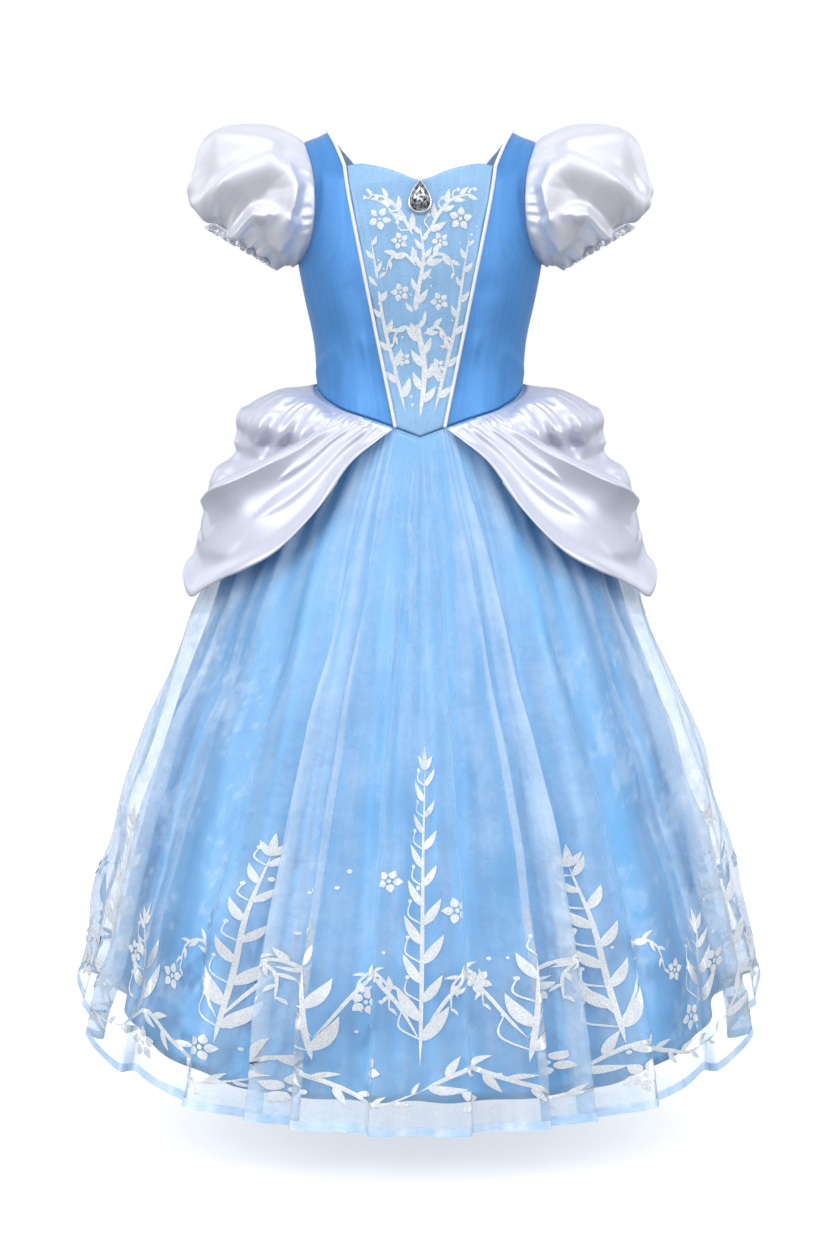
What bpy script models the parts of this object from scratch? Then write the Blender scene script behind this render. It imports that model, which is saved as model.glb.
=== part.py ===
"""A child's princess costume dress, filled out as if worn, in metres with +Z up.

The front faces -Y and the wearer's left is +X. The origin lies midway between the two
shoulder seams, at the height of their inner ends, where the wearer carries the dress.
Every piece of cloth is a thin wall on a surface worked out from the tables below.
"""

import math
from collections import namedtuple

import bpy
import numpy as np

# Cloth and seams
GAP = 0.0003  # clear space between pieces that are sewn together
BODICE_WALL = 0.0016
SATIN_WALL = 0.0012
ORGANZA_WALL = 0.0010
PIPING_RADIUS = 0.0016
PLACKET_HALF_WIDTH = 0.0120
PLACKET_WALL = 0.0012

# Shoulders
SHOULDER_INNER = 0.0843  # from the centre line to the neck end of the shoulder seam
SHOULDER_SLOPE = 0.45
SHOULDER_ROUND_FROM = -0.050  # the torso closes over the shoulders above this height

# Waist seam
WAIST_GAP = 0.0006  # from the bodice's lower edge down to the skirts
WAIST_STACK = 0.0028  # both skirt layers' walls and gaps, at the waist seam

# Torso sections: half width and depths of the inside of the bodice at each height
Torso = namedtuple("Torso", "height half_width front back")
TORSO = (
    Torso(-0.300, 0.0965, 0.0810, 0.0720),
    Torso(-0.270, 0.0955, 0.0790, 0.0715),
    Torso(-0.232, 0.0945, 0.0740, 0.0700),
    Torso(-0.190, 0.0975, 0.0755, 0.0705),
    Torso(-0.150, 0.1060, 0.0805, 0.0735),
    Torso(-0.120, 0.1115, 0.0830, 0.0760),
    Torso(-0.080, 0.1150, 0.0820, 0.0770),
    Torso(-0.045, 0.1170, 0.0790, 0.0740),
    Torso(0.000, 0.1180, 0.0720, 0.0700),
)

# The seam between the centre panel and the side front, and the neck edge above it
Seam = namedtuple("Seam", "height half_width")
FRONT_SEAM = (
    Seam(-0.2800, 0.0195),
    Seam(-0.2705, 0.0218),
    Seam(-0.0645, 0.0626),
    Seam(-0.0351, 0.0673),
    Seam(-0.0160, 0.0760),
    Seam(0.0000, 0.0843),
)
BACK_NECK = (
    Seam(-0.0620, 0.00015),
    Seam(-0.0600, 0.0220),
    Seam(-0.0530, 0.0380),
    Seam(-0.0300, 0.0590),
    Seam(-0.0160, 0.0725),
    Seam(-0.0075, 0.0785),
    Seam(0.0000, 0.0843),
)

# Sweetheart neckline, by distance from the centre line
Neckline = namedtuple("Neckline", "across height")
NECKLINE = (
    Neckline(0.0000, -0.0480),
    Neckline(0.0080, -0.0460),
    Neckline(0.0220, -0.0410),
    Neckline(0.0390, -0.0365),
    Neckline(0.0560, -0.0338),
    Neckline(0.0680, -0.0352),
)

# Armhole edge: angle from the front (or from the back) at each height
Armhole = namedtuple("Armhole", "height angle")
ARMHOLE = (
    Armhole(-0.1198, 90.0),
    Armhole(-0.1185, 80.0),
    Armhole(-0.1150, 72.0),
    Armhole(-0.1080, 65.0),
    Armhole(-0.0960, 59.0),
    Armhole(-0.0800, 55.5),
    Armhole(-0.0550, 54.0),
    Armhole(-0.0300, 56.5),
    Armhole(-0.0160, 60.0),
    Armhole(-0.0075, 62.0),
    Armhole(-0.0028, 63.4),
    Armhole(-0.0006, 64.2),
    Armhole(0.0000, 64.6),
)
UNDERARM = ARMHOLE[0].height

# Waist seam and overskirt hem, by angle from the centre front
Round = namedtuple("Round", "angle waist hem")
ROUND = (
    Round(0, -0.2786, -0.8765),
    Round(13, -0.2705, -0.8760),
    Round(33, -0.2600, -0.8720),
    Round(46, -0.2545, -0.8610),
    Round(60, -0.2470, -0.8430),
    Round(78, -0.2370, -0.8060),
    Round(90, -0.2318, -0.7840),
    Round(105, -0.2308, -0.8060),
    Round(120, -0.2308, -0.8430),
    Round(150, -0.2312, -0.8680),
    Round(180, -0.2318, -0.8725),
)

# How far the skirt's outline stands out from the waist, by the share of the way down
Spread = namedtuple("Spread", "down side front back")
SPREAD = (
    Spread(0.00, 0.000, 0.000, 0.000),
    Spread(0.10, 0.044, 0.026, 0.040),
    Spread(0.20, 0.078, 0.052, 0.070),
    Spread(0.30, 0.102, 0.075, 0.092),
    Spread(0.38, 0.120, 0.091, 0.108),
    Spread(0.52, 0.156, 0.118, 0.134),
    Spread(0.66, 0.183, 0.140, 0.157),
    Spread(0.80, 0.2045, 0.160, 0.179),
    Spread(1.00, 0.229, 0.186, 0.205),
)

# Large folds of the overskirt on each side: where the fold's edge runs at the waist and at the
# hem, its width, how far the valley behind the edge falls back, and where it starts
Fold = namedtuple("Fold", "waist_angle hem_angle width depth start")
OVERSKIRT_FOLDS = (
    Fold(5, 9, 5.0, 0.008, 0.02),
    Fold(18, 26, 5.0, 0.020, 0.10),
    Fold(32, 42, 6.0, 0.010, 0.08),
    Fold(50, 62, 5.0, 0.018, 0.16),
    Fold(70, 77, 5.5, 0.014, 0.20),
    Fold(97, 100, 5.5, 0.018, 0.20),
    Fold(113, 111, 5.0, 0.014, 0.16),
    Fold(128, 124, 6.0, 0.020, 0.12),
    Fold(146, 142, 6.0, 0.014, 0.10),
    Fold(164, 160, 6.0, 0.018, 0.10),
    Fold(175, 174, 5.0, 0.008, 0.06),
)
WAIST_GATHERS = 36
GATHER_DEPTH = 0.0035
UNDERSKIRT_FOLDS = 24
UNDERSKIRT_FOLD_DEPTH = 0.006
UNDERSKIRT_INSET = 0.028  # inside the overskirt's outline at the hem
UNDERSKIRT_LENGTH = 0.966  # share of the overskirt's length

# Peplum: lower edge, ridge of the front swag and fullness at the hip, by angle. The lower edge
# is a share of the skirt's length, and the ridge is a share of the way to the lower edge.
Peplum = namedtuple("Peplum", "angle edge ridge_at ridge puff pleat")
PEPLUM = (
    Peplum(14.5, 0.012, 0.00, 0.000, 0.000, 0.000),
    Peplum(20.0, 0.026, 0.02, 0.001, 0.001, 0.000),
    Peplum(26.8, 0.060, 0.04, 0.003, 0.002, 0.000),
    Peplum(33.2, 0.135, 0.08, 0.006, 0.004, 0.000),
    Peplum(43.0, 0.202, 0.20, 0.011, 0.008, 0.000),
    Peplum(52.5, 0.243, 0.36, 0.016, 0.018, 0.000),
    Peplum(60.0, 0.268, 0.45, 0.018, 0.026, 0.000),
    Peplum(66.0, 0.290, 0.51, 0.018, 0.033, 0.000),
    Peplum(73.0, 0.322, 0.60, 0.014, 0.037, 0.001),
    Peplum(82.0, 0.306, 0.76, 0.010, 0.039, 0.003),
    Peplum(95.0, 0.282, 0.85, 0.003, 0.039, 0.005),
    Peplum(120.0, 0.262, 0.90, 0.000, 0.037, 0.006),
    Peplum(150.0, 0.270, 0.90, 0.000, 0.036, 0.006),
    Peplum(179.8, 0.250, 0.90, 0.000, 0.030, 0.006),
)
# Shape of the hip puff from the waist to the lower edge, for a puff of 1
Puff = namedtuple("Puff", "share out")
PUFF = (
    Puff(0.00, 0.00),
    Puff(0.04, 0.60),
    Puff(0.10, 0.97),
    Puff(0.18, 1.00),
    Puff(0.27, 0.72),
    Puff(0.37, 0.50),
    Puff(0.52, 0.58),
    Puff(0.70, 0.34),
    Puff(0.86, 0.20),
    Puff(1.00, 0.04),
)
PEPLUM_CLEAR = 0.0015  # inner face of the peplum above the overskirt's outline
PEPLUM_EDGE_LIFT = 0.004
BACK_PLEATS = 9.0  # swag pleats of the peplum over half the round

# Sleeve: where the cuff ring lies, and the curve of the puff, by share from underarm to top
CUFF_CENTRE = np.array([0.1640, 0.0, -0.0965])
CUFF_LONG = np.array([0.8615, 0.0, 0.5077])  # from the underarm end to the outer end
CUFF_OUT = np.array([0.5077, 0.0, -0.8615])  # the way the arm leaves
CUFF_HALF_LENGTH = 0.0330
CUFF_HALF_WIDTH = 0.0370
CUFF_DEPTH = 0.0090
CUFF_FLARE = 0.0035
CUFF_WAVES = 10
CUFF_WAVE = 0.0022
Bulge = namedtuple("Bulge", "up start_out start_along end_out end_back")
BULGE = (
    Bulge(0.00, 0.0020, 0.0080, 0.0220, -0.0020),
    Bulge(0.25, 0.0120, 0.0220, 0.0300, 0.0100),
    Bulge(0.50, 0.0170, 0.0340, 0.0360, 0.0260),
    Bulge(0.75, 0.0280, 0.0360, 0.0660, 0.0460),
    Bulge(1.00, 0.0320, 0.0380, 0.0960, 0.0600),
)
SLEEVE_GATHERS = 10
SLEEVE_GATHER_DEPTH = 0.0028

# Jewel
JEWEL_HEIGHT = -0.0625
JEWEL_HALF_WIDTH = 0.0106
JEWEL_HALF_LENGTH = 0.0135
JEWEL_THICKNESS = 0.0048
BEZEL_RIM = 1.16
BEZEL_BACK = 0.0008
BEZEL_WALL = 0.0022

# Colours, roughness and metallic value
Finish = namedtuple("Finish", "colour roughness metallic")
FINISHES = {
    "blue_satin": Finish((0.11, 0.32, 0.76), 0.35, 0.0),
    "light_satin": Finish((0.20, 0.44, 0.84), 0.40, 0.0),
    "organza": Finish((0.42, 0.64, 0.90), 0.35, 0.0),
    "white_satin": Finish((0.86, 0.86, 0.90), 0.32, 0.0),
    "piping": Finish((0.90, 0.91, 0.93), 0.50, 0.0),
    "stone": Finish((0.45, 0.46, 0.48), 0.05, 0.0),
    "silver": Finish((0.70, 0.71, 0.73), 0.20, 1.0),
}


def clear_scene():
    for obj in list(bpy.data.objects):
        bpy.data.objects.remove(obj)


def column(table, name):
    return np.array([getattr(row, name) for row in table], float)


def curve(at, knots, values):
    """Cubic curve through a table's rows, with slopes from their neighbours."""
    at = np.asarray(at, float)
    slopes = np.gradient(values, knots)
    i = np.clip(np.searchsorted(knots, at, side="right") - 1, 0, len(knots) - 2)
    step = knots[i + 1] - knots[i]
    t = np.clip((at - knots[i]) / step, 0, 1)
    start = (2 * t**3 - 3 * t**2 + 1) * values[i]
    start += (t**3 - 2 * t**2 + t) * step * slopes[i]
    end = (3 * t**2 - 2 * t**3) * values[i + 1]
    end += (t**3 - t**2) * step * slopes[i + 1]
    return start + end


def read(table, key, name, at):
    return curve(at, column(table, key), column(table, name))


def straight(table, key, name, at):
    return np.interp(at, column(table, key), column(table, name))


def smooth_step(t):
    t = np.clip(t, 0, 1)
    return t * t * (3 - 2 * t)


def torso_axes(height):
    """Half width, front depth and back depth of the torso, rounded over at the shoulders."""
    above = np.clip((height - SHOULDER_ROUND_FROM) / -SHOULDER_ROUND_FROM, 0, 1)
    closing = np.sqrt(1 - above**2)
    return (
        read(TORSO, "height", "half_width", height),
        read(TORSO, "height", "front", height) * closing,
        read(TORSO, "height", "back", height) * closing,
    )


def torso_skin(angle, height):
    """Point of the inside of the bodice: an ellipse at each height, lowered along the shoulders."""
    turn = np.radians(angle)
    half_width, front, back = torso_axes(height)
    x = half_width * np.sin(turn)
    y = -np.where(np.cos(turn) > 0, front, back) * np.cos(turn)
    above = np.clip((height - SHOULDER_ROUND_FROM) / -SHOULDER_ROUND_FROM, 0, 1)
    drop = SHOULDER_SLOPE * (np.abs(x) - SHOULDER_INNER) * above**2
    return np.stack([x, y, height - drop], -1)


def torso(angle, height, lift):
    """Point of the torso, moved out along its normal."""
    angle, height, lift = np.broadcast_arrays(
        np.asarray(angle, float), np.asarray(height, float), np.asarray(lift, float)
    )
    small_turn, small_rise = 0.2, 0.0004
    along = torso_skin(angle + small_turn, height) - torso_skin(angle - small_turn, height)
    up = torso_skin(angle, height) - torso_skin(angle, height - small_rise)
    normal = np.cross(along, up)
    normal /= np.linalg.norm(normal, axis=-1, keepdims=True)
    return torso_skin(angle, height) + normal * lift[..., None]


def angle_at(across, height):
    """Angle from the centre at which the torso is that far across."""
    half_width = read(TORSO, "height", "half_width", height)
    return np.degrees(np.arcsin(np.clip(across / half_width, -1, 1)))


def waist_at(angle):
    return read(ROUND, "angle", "waist", 180 - np.abs((np.asarray(angle) % 360) - 180))


def hem_at(angle):
    return read(ROUND, "angle", "hem", 180 - np.abs((np.asarray(angle) % 360) - 180))


def skirt(angle, down, lift):
    """Point of the skirt's outline: the waist seam widened by SPREAD, moved out level by lift."""
    angle, down, lift = np.broadcast_arrays(
        np.asarray(angle, float), np.asarray(down, float), np.asarray(lift, float)
    )
    turn = np.radians(angle)
    top = waist_at(angle)
    half_width, front, back = torso_axes(top)
    half_width = half_width + WAIST_STACK + read(SPREAD, "down", "side", down)
    front = front + WAIST_STACK + read(SPREAD, "down", "front", down)
    back = back + WAIST_STACK + read(SPREAD, "down", "back", down)
    depth = np.where(np.cos(turn) > 0, front, back)
    out_x, out_y = np.sin(turn) / half_width, -np.cos(turn) / depth
    size = np.hypot(out_x, out_y)
    x = half_width * np.sin(turn) + out_x / size * lift
    y = -depth * np.cos(turn) + out_y / size * lift
    return np.stack([x, y, top - WAIST_GAP / 2 + (hem_at(angle) - top) * down], -1)


def finish_material(name):
    material = bpy.data.materials.get(name)
    if material is None:
        finish = FINISHES[name]
        material = bpy.data.materials.new(name)
        material.use_nodes = True
        shader = material.node_tree.nodes["Principled BSDF"]
        shader.inputs["Base Color"].default_value = (*finish.colour, 1.0)
        shader.inputs["Roughness"].default_value = finish.roughness
        shader.inputs["Metallic"].default_value = finish.metallic
    return material


def make_object(name, points, faces, finish):
    """Mesh object with its faces turned outwards."""
    points = np.asarray(points, float)
    volume = 0.0
    for face in faces:
        for second, third in zip(face[1:-1], face[2:]):
            volume += np.dot(points[face[0]], np.cross(points[second], points[third]))
    if volume < 0:
        faces = [face[::-1] for face in faces]
    mesh = bpy.data.meshes.new(name)
    mesh.from_pydata([tuple(p) for p in points], [], [tuple(f) for f in faces])
    mesh.materials.append(finish_material(finish))
    mesh.shade_smooth()
    obj = bpy.data.objects.new(name, mesh)
    bpy.context.scene.collection.objects.link(obj)
    return obj


def wall(name, outer, inner, closed, finish):
    """Closed wall between two grids of points, rows by columns. A closed one is a tube."""
    rows, columns = outer.shape[:2]
    points = np.concatenate([outer.reshape(-1, 3), inner.reshape(-1, 3)])
    behind = rows * columns
    faces = []

    def at(row, col):
        return row * columns + col % columns

    for row in range(rows - 1):
        for col in range(columns if closed else columns - 1):
            a, b, c, d = at(row, col), at(row, col + 1), at(row + 1, col + 1), at(row + 1, col)
            for triangle in ((a, b, c), (a, c, d)):
                faces.append(triangle)
                faces.append(tuple(behind + i for i in triangle[::-1]))
    for row in (0, rows - 1):
        for col in range(columns if closed else columns - 1):
            a, b = at(row, col), at(row, col + 1)
            rim = (a, b, behind + b, behind + a)
            faces.append(rim if row else rim[::-1])
    if not closed:
        for col in (0, columns - 1):
            for row in range(rows - 1):
                a, b = at(row, col), at(row + 1, col)
                rim = (a, b, behind + b, behind + a)
                faces.append(rim[::-1] if col else rim)
    return make_object(name, points, faces, finish)


def mirrored(grid, side):
    """The grid as it is for the wearer's left, side +1, or its mirror image, side -1."""
    return grid * np.array([side, 1.0, 1.0])


def torso_wall(name, angle, height, lift, thickness, side, finish):
    """Wall on the torso, moved clear of the piece that it meets at the side and shoulder."""
    clear = np.array([0.0, -GAP / 2 if angle[0, 0] < 90 else GAP / 2, 0.0])
    outer = torso(angle, height, lift + thickness) + clear
    inner = torso(angle, height, lift) + clear
    return wall(name, mirrored(outer, side), mirrored(inner, side), False, finish)


def build_front_panel():
    """Centre front: from the pointed waist to the sweetheart neckline, between the two seams."""
    across = np.linspace(-1, 1, 13)[None, :]
    up = np.linspace(0, 1, 12)[:, None]
    waist_across = across * straight(FRONT_SEAM, "height", "half_width", -0.2705)
    bottom = waist_at(angle_at(waist_across, -0.2750)) + WAIST_GAP / 2
    top_across = across * straight(FRONT_SEAM, "height", "half_width", -0.0352)
    top = read(NECKLINE, "across", "height", np.abs(top_across))
    height = bottom + (top - bottom) * up
    seam = straight(FRONT_SEAM, "height", "half_width", height) - GAP / 2
    angle = angle_at(across * seam, height)
    torso_wall("front_panel", angle, height, 0.0, BODICE_WALL, 1, "light_satin")


def panel_heights(bottom, levels, lower_rows):
    """Heights of a panel's rows: even steps from its waist edge, then level ones above."""
    share = np.linspace(0, 1, lower_rows + 1)[:-1, None]
    low = bottom + (levels[0] - bottom) * share
    return np.concatenate([low, np.repeat(np.array(levels)[:, None], bottom.shape[1], 1)])


def build_side_front(name, side):
    """Side front with its shoulder strap: from the front seam to the side seam and armhole."""
    across = np.linspace(0, 1, 8)[None, :]
    seam_angle = float(angle_at(0.0218, -0.2705))
    bottom = waist_at(seam_angle + (90 - seam_angle) * across) + WAIST_GAP / 2
    height = panel_heights(bottom, [row.height for row in ARMHOLE], 6)
    inner = straight(FRONT_SEAM, "height", "half_width", height) + GAP / 2
    start = angle_at(inner, height)
    end = straight(ARMHOLE, "height", "angle", height)
    angle = start + (end - start) * across
    torso_wall(name, angle, height, 0.0, BODICE_WALL, side, "blue_satin")


def build_back(name, side):
    """Back with its shoulder strap: from the side seam and armhole to the centre back."""
    across = np.linspace(0, 1, 8)[None, :]
    bottom = waist_at(90 + 90 * across) + WAIST_GAP / 2
    levels = sorted({row.height for row in ARMHOLE} | {row.height for row in BACK_NECK})
    height = panel_heights(bottom, levels, 6)
    end = 180 - angle_at(straight(BACK_NECK, "height", "half_width", height), height)
    start = 180 - straight(ARMHOLE, "height", "angle", height)
    angle = start + (end - start) * across
    torso_wall(name, angle, height, 0.0, BODICE_WALL, side, "blue_satin")


def build_placket():
    """Strip that covers the centre back closing, over both backs."""
    across = np.linspace(-1, 1, 3)[None, :]
    up = np.linspace(0, 1, 9)[:, None]
    bottom, top = float(waist_at(180)) + WAIST_GAP / 2, BACK_NECK[0].height - 0.0010
    height = bottom + (top - bottom) * up + 0 * across
    angle = 180 - angle_at(across * PLACKET_HALF_WIDTH, height)
    torso_wall("back_placket", angle, height, BODICE_WALL + GAP, PLACKET_WALL, 1, "blue_satin")


def build_piping(name, side):
    """White piping along the front seam and up the neck edge to the shoulder."""
    rounded = SHOULDER_ROUND_FROM * (1 - np.sin(np.linspace(0, 0.46 * np.pi, 10)))
    heights = np.concatenate([np.linspace(-0.2700, -0.0600, 16), rounded])
    across = straight(FRONT_SEAM, "height", "half_width", heights)
    lift = BODICE_WALL + 2 * GAP + PIPING_RADIUS
    path = mirrored(torso(angle_at(across, heights), heights, lift), side)
    shape = bpy.data.curves.new(name, "CURVE")
    shape.dimensions = "3D"
    shape.bevel_depth = PIPING_RADIUS
    shape.bevel_resolution = 1
    shape.use_fill_caps = True
    spline = shape.splines.new("POLY")
    spline.points.add(len(path) - 1)
    for point, place in zip(spline.points, path):
        point.co = (*place, 1.0)
    shape.materials.append(finish_material("piping"))
    bpy.context.scene.collection.objects.link(bpy.data.objects.new(name, shape))


def armhole_loop(columns):
    """Armhole edge from the shoulder seam down the front, under the arm and up the back."""
    heights = column(ARMHOLE, "height")[::-1]
    angles = column(ARMHOLE, "angle")[::-1]
    heights = np.concatenate([heights, heights[-2::-1]])
    angles = np.concatenate([angles, 180 - angles[-2::-1]])
    lift = BODICE_WALL + GAP
    loop = torso(angles, heights, lift)
    length = np.concatenate([[0], np.cumsum(np.linalg.norm(np.diff(loop, axis=0), axis=1))])
    half = len(heights) // 2
    share = np.where(
        np.arange(len(length)) <= half,
        length / length[half] / 2,
        0.5 + (length - length[half]) / (length[-1] - length[half]) / 2,
    )
    at = np.arange(columns) / columns
    return np.stack([np.interp(at, share, loop[:, i]) for i in range(3)], -1)


def cuff_ring(columns, out, along):
    """Oval ring of the cuff, widened by out and moved the way the arm leaves by along."""
    turn = 2 * np.pi * np.arange(columns) / columns
    length = (CUFF_HALF_LENGTH + out) * np.cos(turn)
    width = (CUFF_HALF_WIDTH + out) * np.sin(turn)
    ring = CUFF_CENTRE + length[:, None] * CUFF_LONG
    return ring - width[:, None] * np.array([0, 1, 0]) + np.asarray(along)[..., None] * CUFF_OUT


def grid_normals(grid):
    """Unit normals of a grid that is closed along its columns."""
    along = np.roll(grid, -1, 1) - np.roll(grid, 1, 1)
    down = np.gradient(grid, axis=0)
    normal = np.cross(along, down)
    return normal / np.linalg.norm(normal, axis=-1, keepdims=True)


def build_sleeve(name, side):
    """Puff sleeve: a curve from each point of the armhole out and round to the cuff ring."""
    columns, rows = 40, 9
    turn = 2 * np.pi * np.arange(columns) / columns
    up = (1 + np.cos(turn)) / 2
    first, last = armhole_loop(columns), cuff_ring(columns, 0.0, 0.0)
    hole_out = np.stack([0 * turn, -np.sin(turn), np.cos(turn)], -1)
    cuff_out = np.cos(turn)[:, None] * CUFF_LONG - np.sin(turn)[:, None] * np.array([0, 1, 0])
    amount = {name: read(BULGE, "up", name, up)[:, None] for name in BULGE[0]._fields[1:]}
    arm = np.array([1.0, 0.0, 0.0])
    second = first + hole_out * amount["start_out"] + arm * amount["start_along"]
    third = last + cuff_out * amount["end_out"] - CUFF_OUT * amount["end_back"]
    t = np.linspace(0, 1, rows)[:, None, None]
    grid = (1 - t) ** 3 * first + 3 * (1 - t) ** 2 * t * second
    grid = grid + 3 * (1 - t) * t**2 * third + t**3 * last
    normal = grid_normals(grid)
    centre = grid.mean((0, 1))
    if ((grid - centre) * normal).sum() < 0:
        normal = -normal
    near_ends = np.sin(np.pi * t) * (np.exp(-((t / 0.28) ** 2)) + np.exp(-(((1 - t) / 0.28) ** 2)))
    fullness = np.clip(up * 1.6, 0.15, 1)[:, None]
    gather = SLEEVE_GATHER_DEPTH * np.cos(SLEEVE_GATHERS * turn)[:, None] * near_ends * fullness
    outer = grid + normal * gather
    wall(name, mirrored(outer, side), mirrored(outer - normal * SATIN_WALL, side), True, "white_satin")


def build_cuff(name, side):
    """Elastic cuff: a short frill beyond the sleeve's end, waved at its edge."""
    columns, rows = 4 * CUFF_WAVES, 2
    turn = 2 * np.pi * np.arange(columns) / columns
    share = np.linspace(0, 1, rows)
    outer, inner = [], []
    for part in share:
        wave = CUFF_WAVE * part * np.cos(CUFF_WAVES * turn)
        out = CUFF_FLARE * part + wave
        along = 2 * GAP + CUFF_DEPTH * part + 0 * turn
        outer.append(cuff_ring(columns, out, along))
        inner.append(cuff_ring(columns, out - SATIN_WALL, along))
    wall(name, mirrored(np.array(outer), side), mirrored(np.array(inner), side), True, "white_satin")


def overskirt_fall(angle, down):
    """How far the overskirt lies inside the outline: a valley behind each large fold, and gathers."""
    folded = 180 - np.abs((angle % 360) - 180)
    fall = 0.0 * down + 0.0 * folded
    for fold in OVERSKIRT_FOLDS:
        middle = fold.waist_angle + (fold.hem_angle - fold.waist_angle) * down
        grown = smooth_step((down - fold.start) / 0.55)
        near = np.abs(folded - middle) / fold.width
        fall = np.maximum(fall, fold.depth * grown * np.exp(-(near**2)))
    gather = 0.5 + 0.5 * np.cos(np.radians(WAIST_GATHERS * angle))
    strength = smooth_step(down / 0.09) * (1 - smooth_step((down - 0.10) / 0.35))
    return fall + GATHER_DEPTH * gather * strength


def build_overskirt():
    """Organza overskirt, gathered at the waist and falling in large folds to the hem."""
    angle = np.arange(0, 360, 2.5)[None, :]
    down = np.array([0, 0.03, 0.09, 0.18, 0.30, 0.45, 0.65, 1.0])[:, None]
    fall = overskirt_fall(angle, down)
    outer = skirt(angle, down, -fall)
    inner = skirt(angle, down, -fall - ORGANZA_WALL)
    wall("overskirt", outer, inner, True, "organza")


def build_underskirt():
    """Satin underskirt inside the overskirt, in even flutes and a little shorter."""
    angle = np.arange(0, 360, 3.75)[None, :]
    down = np.array([0, 0.03, 0.09, 0.26, 0.55, UNDERSKIRT_LENGTH])[:, None]
    flute = 0.5 + 0.5 * np.cos(np.radians(UNDERSKIRT_FOLDS * angle))
    fall = ORGANZA_WALL + GAP + 0.0085 * smooth_step(down / 0.12)
    fall = fall + (UNDERSKIRT_INSET - 0.0085) * smooth_step((down - 0.05) / 0.65)
    fall = fall + UNDERSKIRT_FOLD_DEPTH * flute * smooth_step((down - 0.03) / 0.5)
    outer = skirt(angle, down, -fall)
    inner = skirt(angle, down, -fall - SATIN_WALL)
    wall("underskirt", outer, inner, True, "blue_satin")


def peplum_lift(angle, share):
    """How far the peplum stands off the skirt: hip puff, swag ridge and back pleats."""
    puff = read(PEPLUM, "angle", "puff", angle) * straight(PUFF, "share", "out", share)
    ridge_at = read(PEPLUM, "angle", "ridge_at", angle)
    side = np.where(share < ridge_at, 0.10, 0.42)
    ridge = read(PEPLUM, "angle", "ridge", angle) * np.exp(-(((share - ridge_at) / side) ** 2))
    pleat = read(PEPLUM, "angle", "pleat", angle) * np.cos(np.radians(BACK_PLEATS * 2 * angle))
    settled = smooth_step(share / 0.10)
    return np.maximum(puff + (ridge + pleat + PEPLUM_EDGE_LIFT) * settled, 0) + PEPLUM_CLEAR


def build_peplum(name, side):
    """White satin peplum: a front swag that falls to a point at the side, then round the hip."""
    angle = np.concatenate([np.linspace(14.5, 90, 17), np.linspace(96, 179.8, 14)])[None, :]
    share = np.array([0, 0.04, 0.10, 0.18, 0.27, 0.37, 0.46, 0.56, 0.70, 0.86, 1.0])[:, None]
    down = share * read(PEPLUM, "angle", "edge", angle)
    lift = peplum_lift(angle, share)
    outer = mirrored(skirt(angle, down, lift + SATIN_WALL), side)
    inner = mirrored(skirt(angle, down, lift), side)
    wall(name, outer, inner, False, "white_satin")


def drop_outline(sides, scale):
    """Outline of a pear-shaped drop: a circle whose sides draw in towards the top."""
    turn = 2 * np.pi * np.arange(sides) / sides
    across = JEWEL_HALF_WIDTH * np.sin(turn) * np.sin(turn / 2) ** 1.1 * 1.12
    return np.stack([across * scale, JEWEL_HALF_LENGTH * scale * np.cos(turn)], -1)


def build_turned(name, sides, rings, finish):
    """Closed body through rings of the drop outline: scale of each ring and its distance out."""
    points, faces = [], []
    reach = JEWEL_HALF_LENGTH * BEZEL_RIM
    ends = JEWEL_HEIGHT + np.array([-reach, reach])
    surface = -torso(0.0, ends, BODICE_WALL + 2 * GAP)[:, 1]
    for scale, out in rings:
        for across, up in drop_outline(sides, scale):
            depth = np.interp(up, (-reach, reach), surface)
            points.append((across, -(depth + out), JEWEL_HEIGHT + up))
    for ring in range(len(rings) - 1):
        for i in range(sides):
            j = (i + 1) % sides
            low, high = ring * sides, (ring + 1) * sides
            faces.append((low + i, low + j, high + j, high + i))
    faces.append(tuple(range(sides))[::-1])
    faces.append(tuple((len(rings) - 1) * sides + i for i in range(sides)))
    make_object(name, points, faces, finish)


def build_jewel():
    """Faceted drop stone in a silver setting at the middle of the neckline."""
    rim = (
        (BEZEL_RIM, 0.0),
        (BEZEL_RIM, BEZEL_WALL * 0.8),
        (BEZEL_RIM - 0.05, BEZEL_WALL),
        (1.04, BEZEL_WALL),
        (1.04, BEZEL_BACK),
    )
    stone = (
        (0.70, BEZEL_BACK + GAP),
        (1.00, BEZEL_BACK + 0.0010),
        (1.00, BEZEL_WALL),
        (0.78, JEWEL_THICKNESS * 0.84),
        (0.50, JEWEL_THICKNESS),
    )
    build_turned("jewel_setting", 20, rim, "silver")
    build_turned("jewel_stone", 20, stone, "stone")


def main():
    clear_scene()
    build_front_panel()
    build_placket()
    build_underskirt()
    build_overskirt()
    build_jewel()
    for side, word in ((1, "left"), (-1, "right")):
        build_side_front("side_front_" + word, side)
        build_back("back_" + word, side)
        build_piping("piping_" + word, side)
        build_sleeve("sleeve_" + word, side)
        build_cuff("cuff_" + word, side)
        build_peplum("peplum_" + word, side)


main()
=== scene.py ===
"""The looks of a child's princess costume dress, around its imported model, in metres with +Z up.

The front faces -Y and the wearer's left is +X. Cloth is laid on two surfaces: the torso, by angle
from the centre front and height, and the skirt, by angle and the share of the way down to the hem.
"""

import math
from collections import namedtuple

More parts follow.
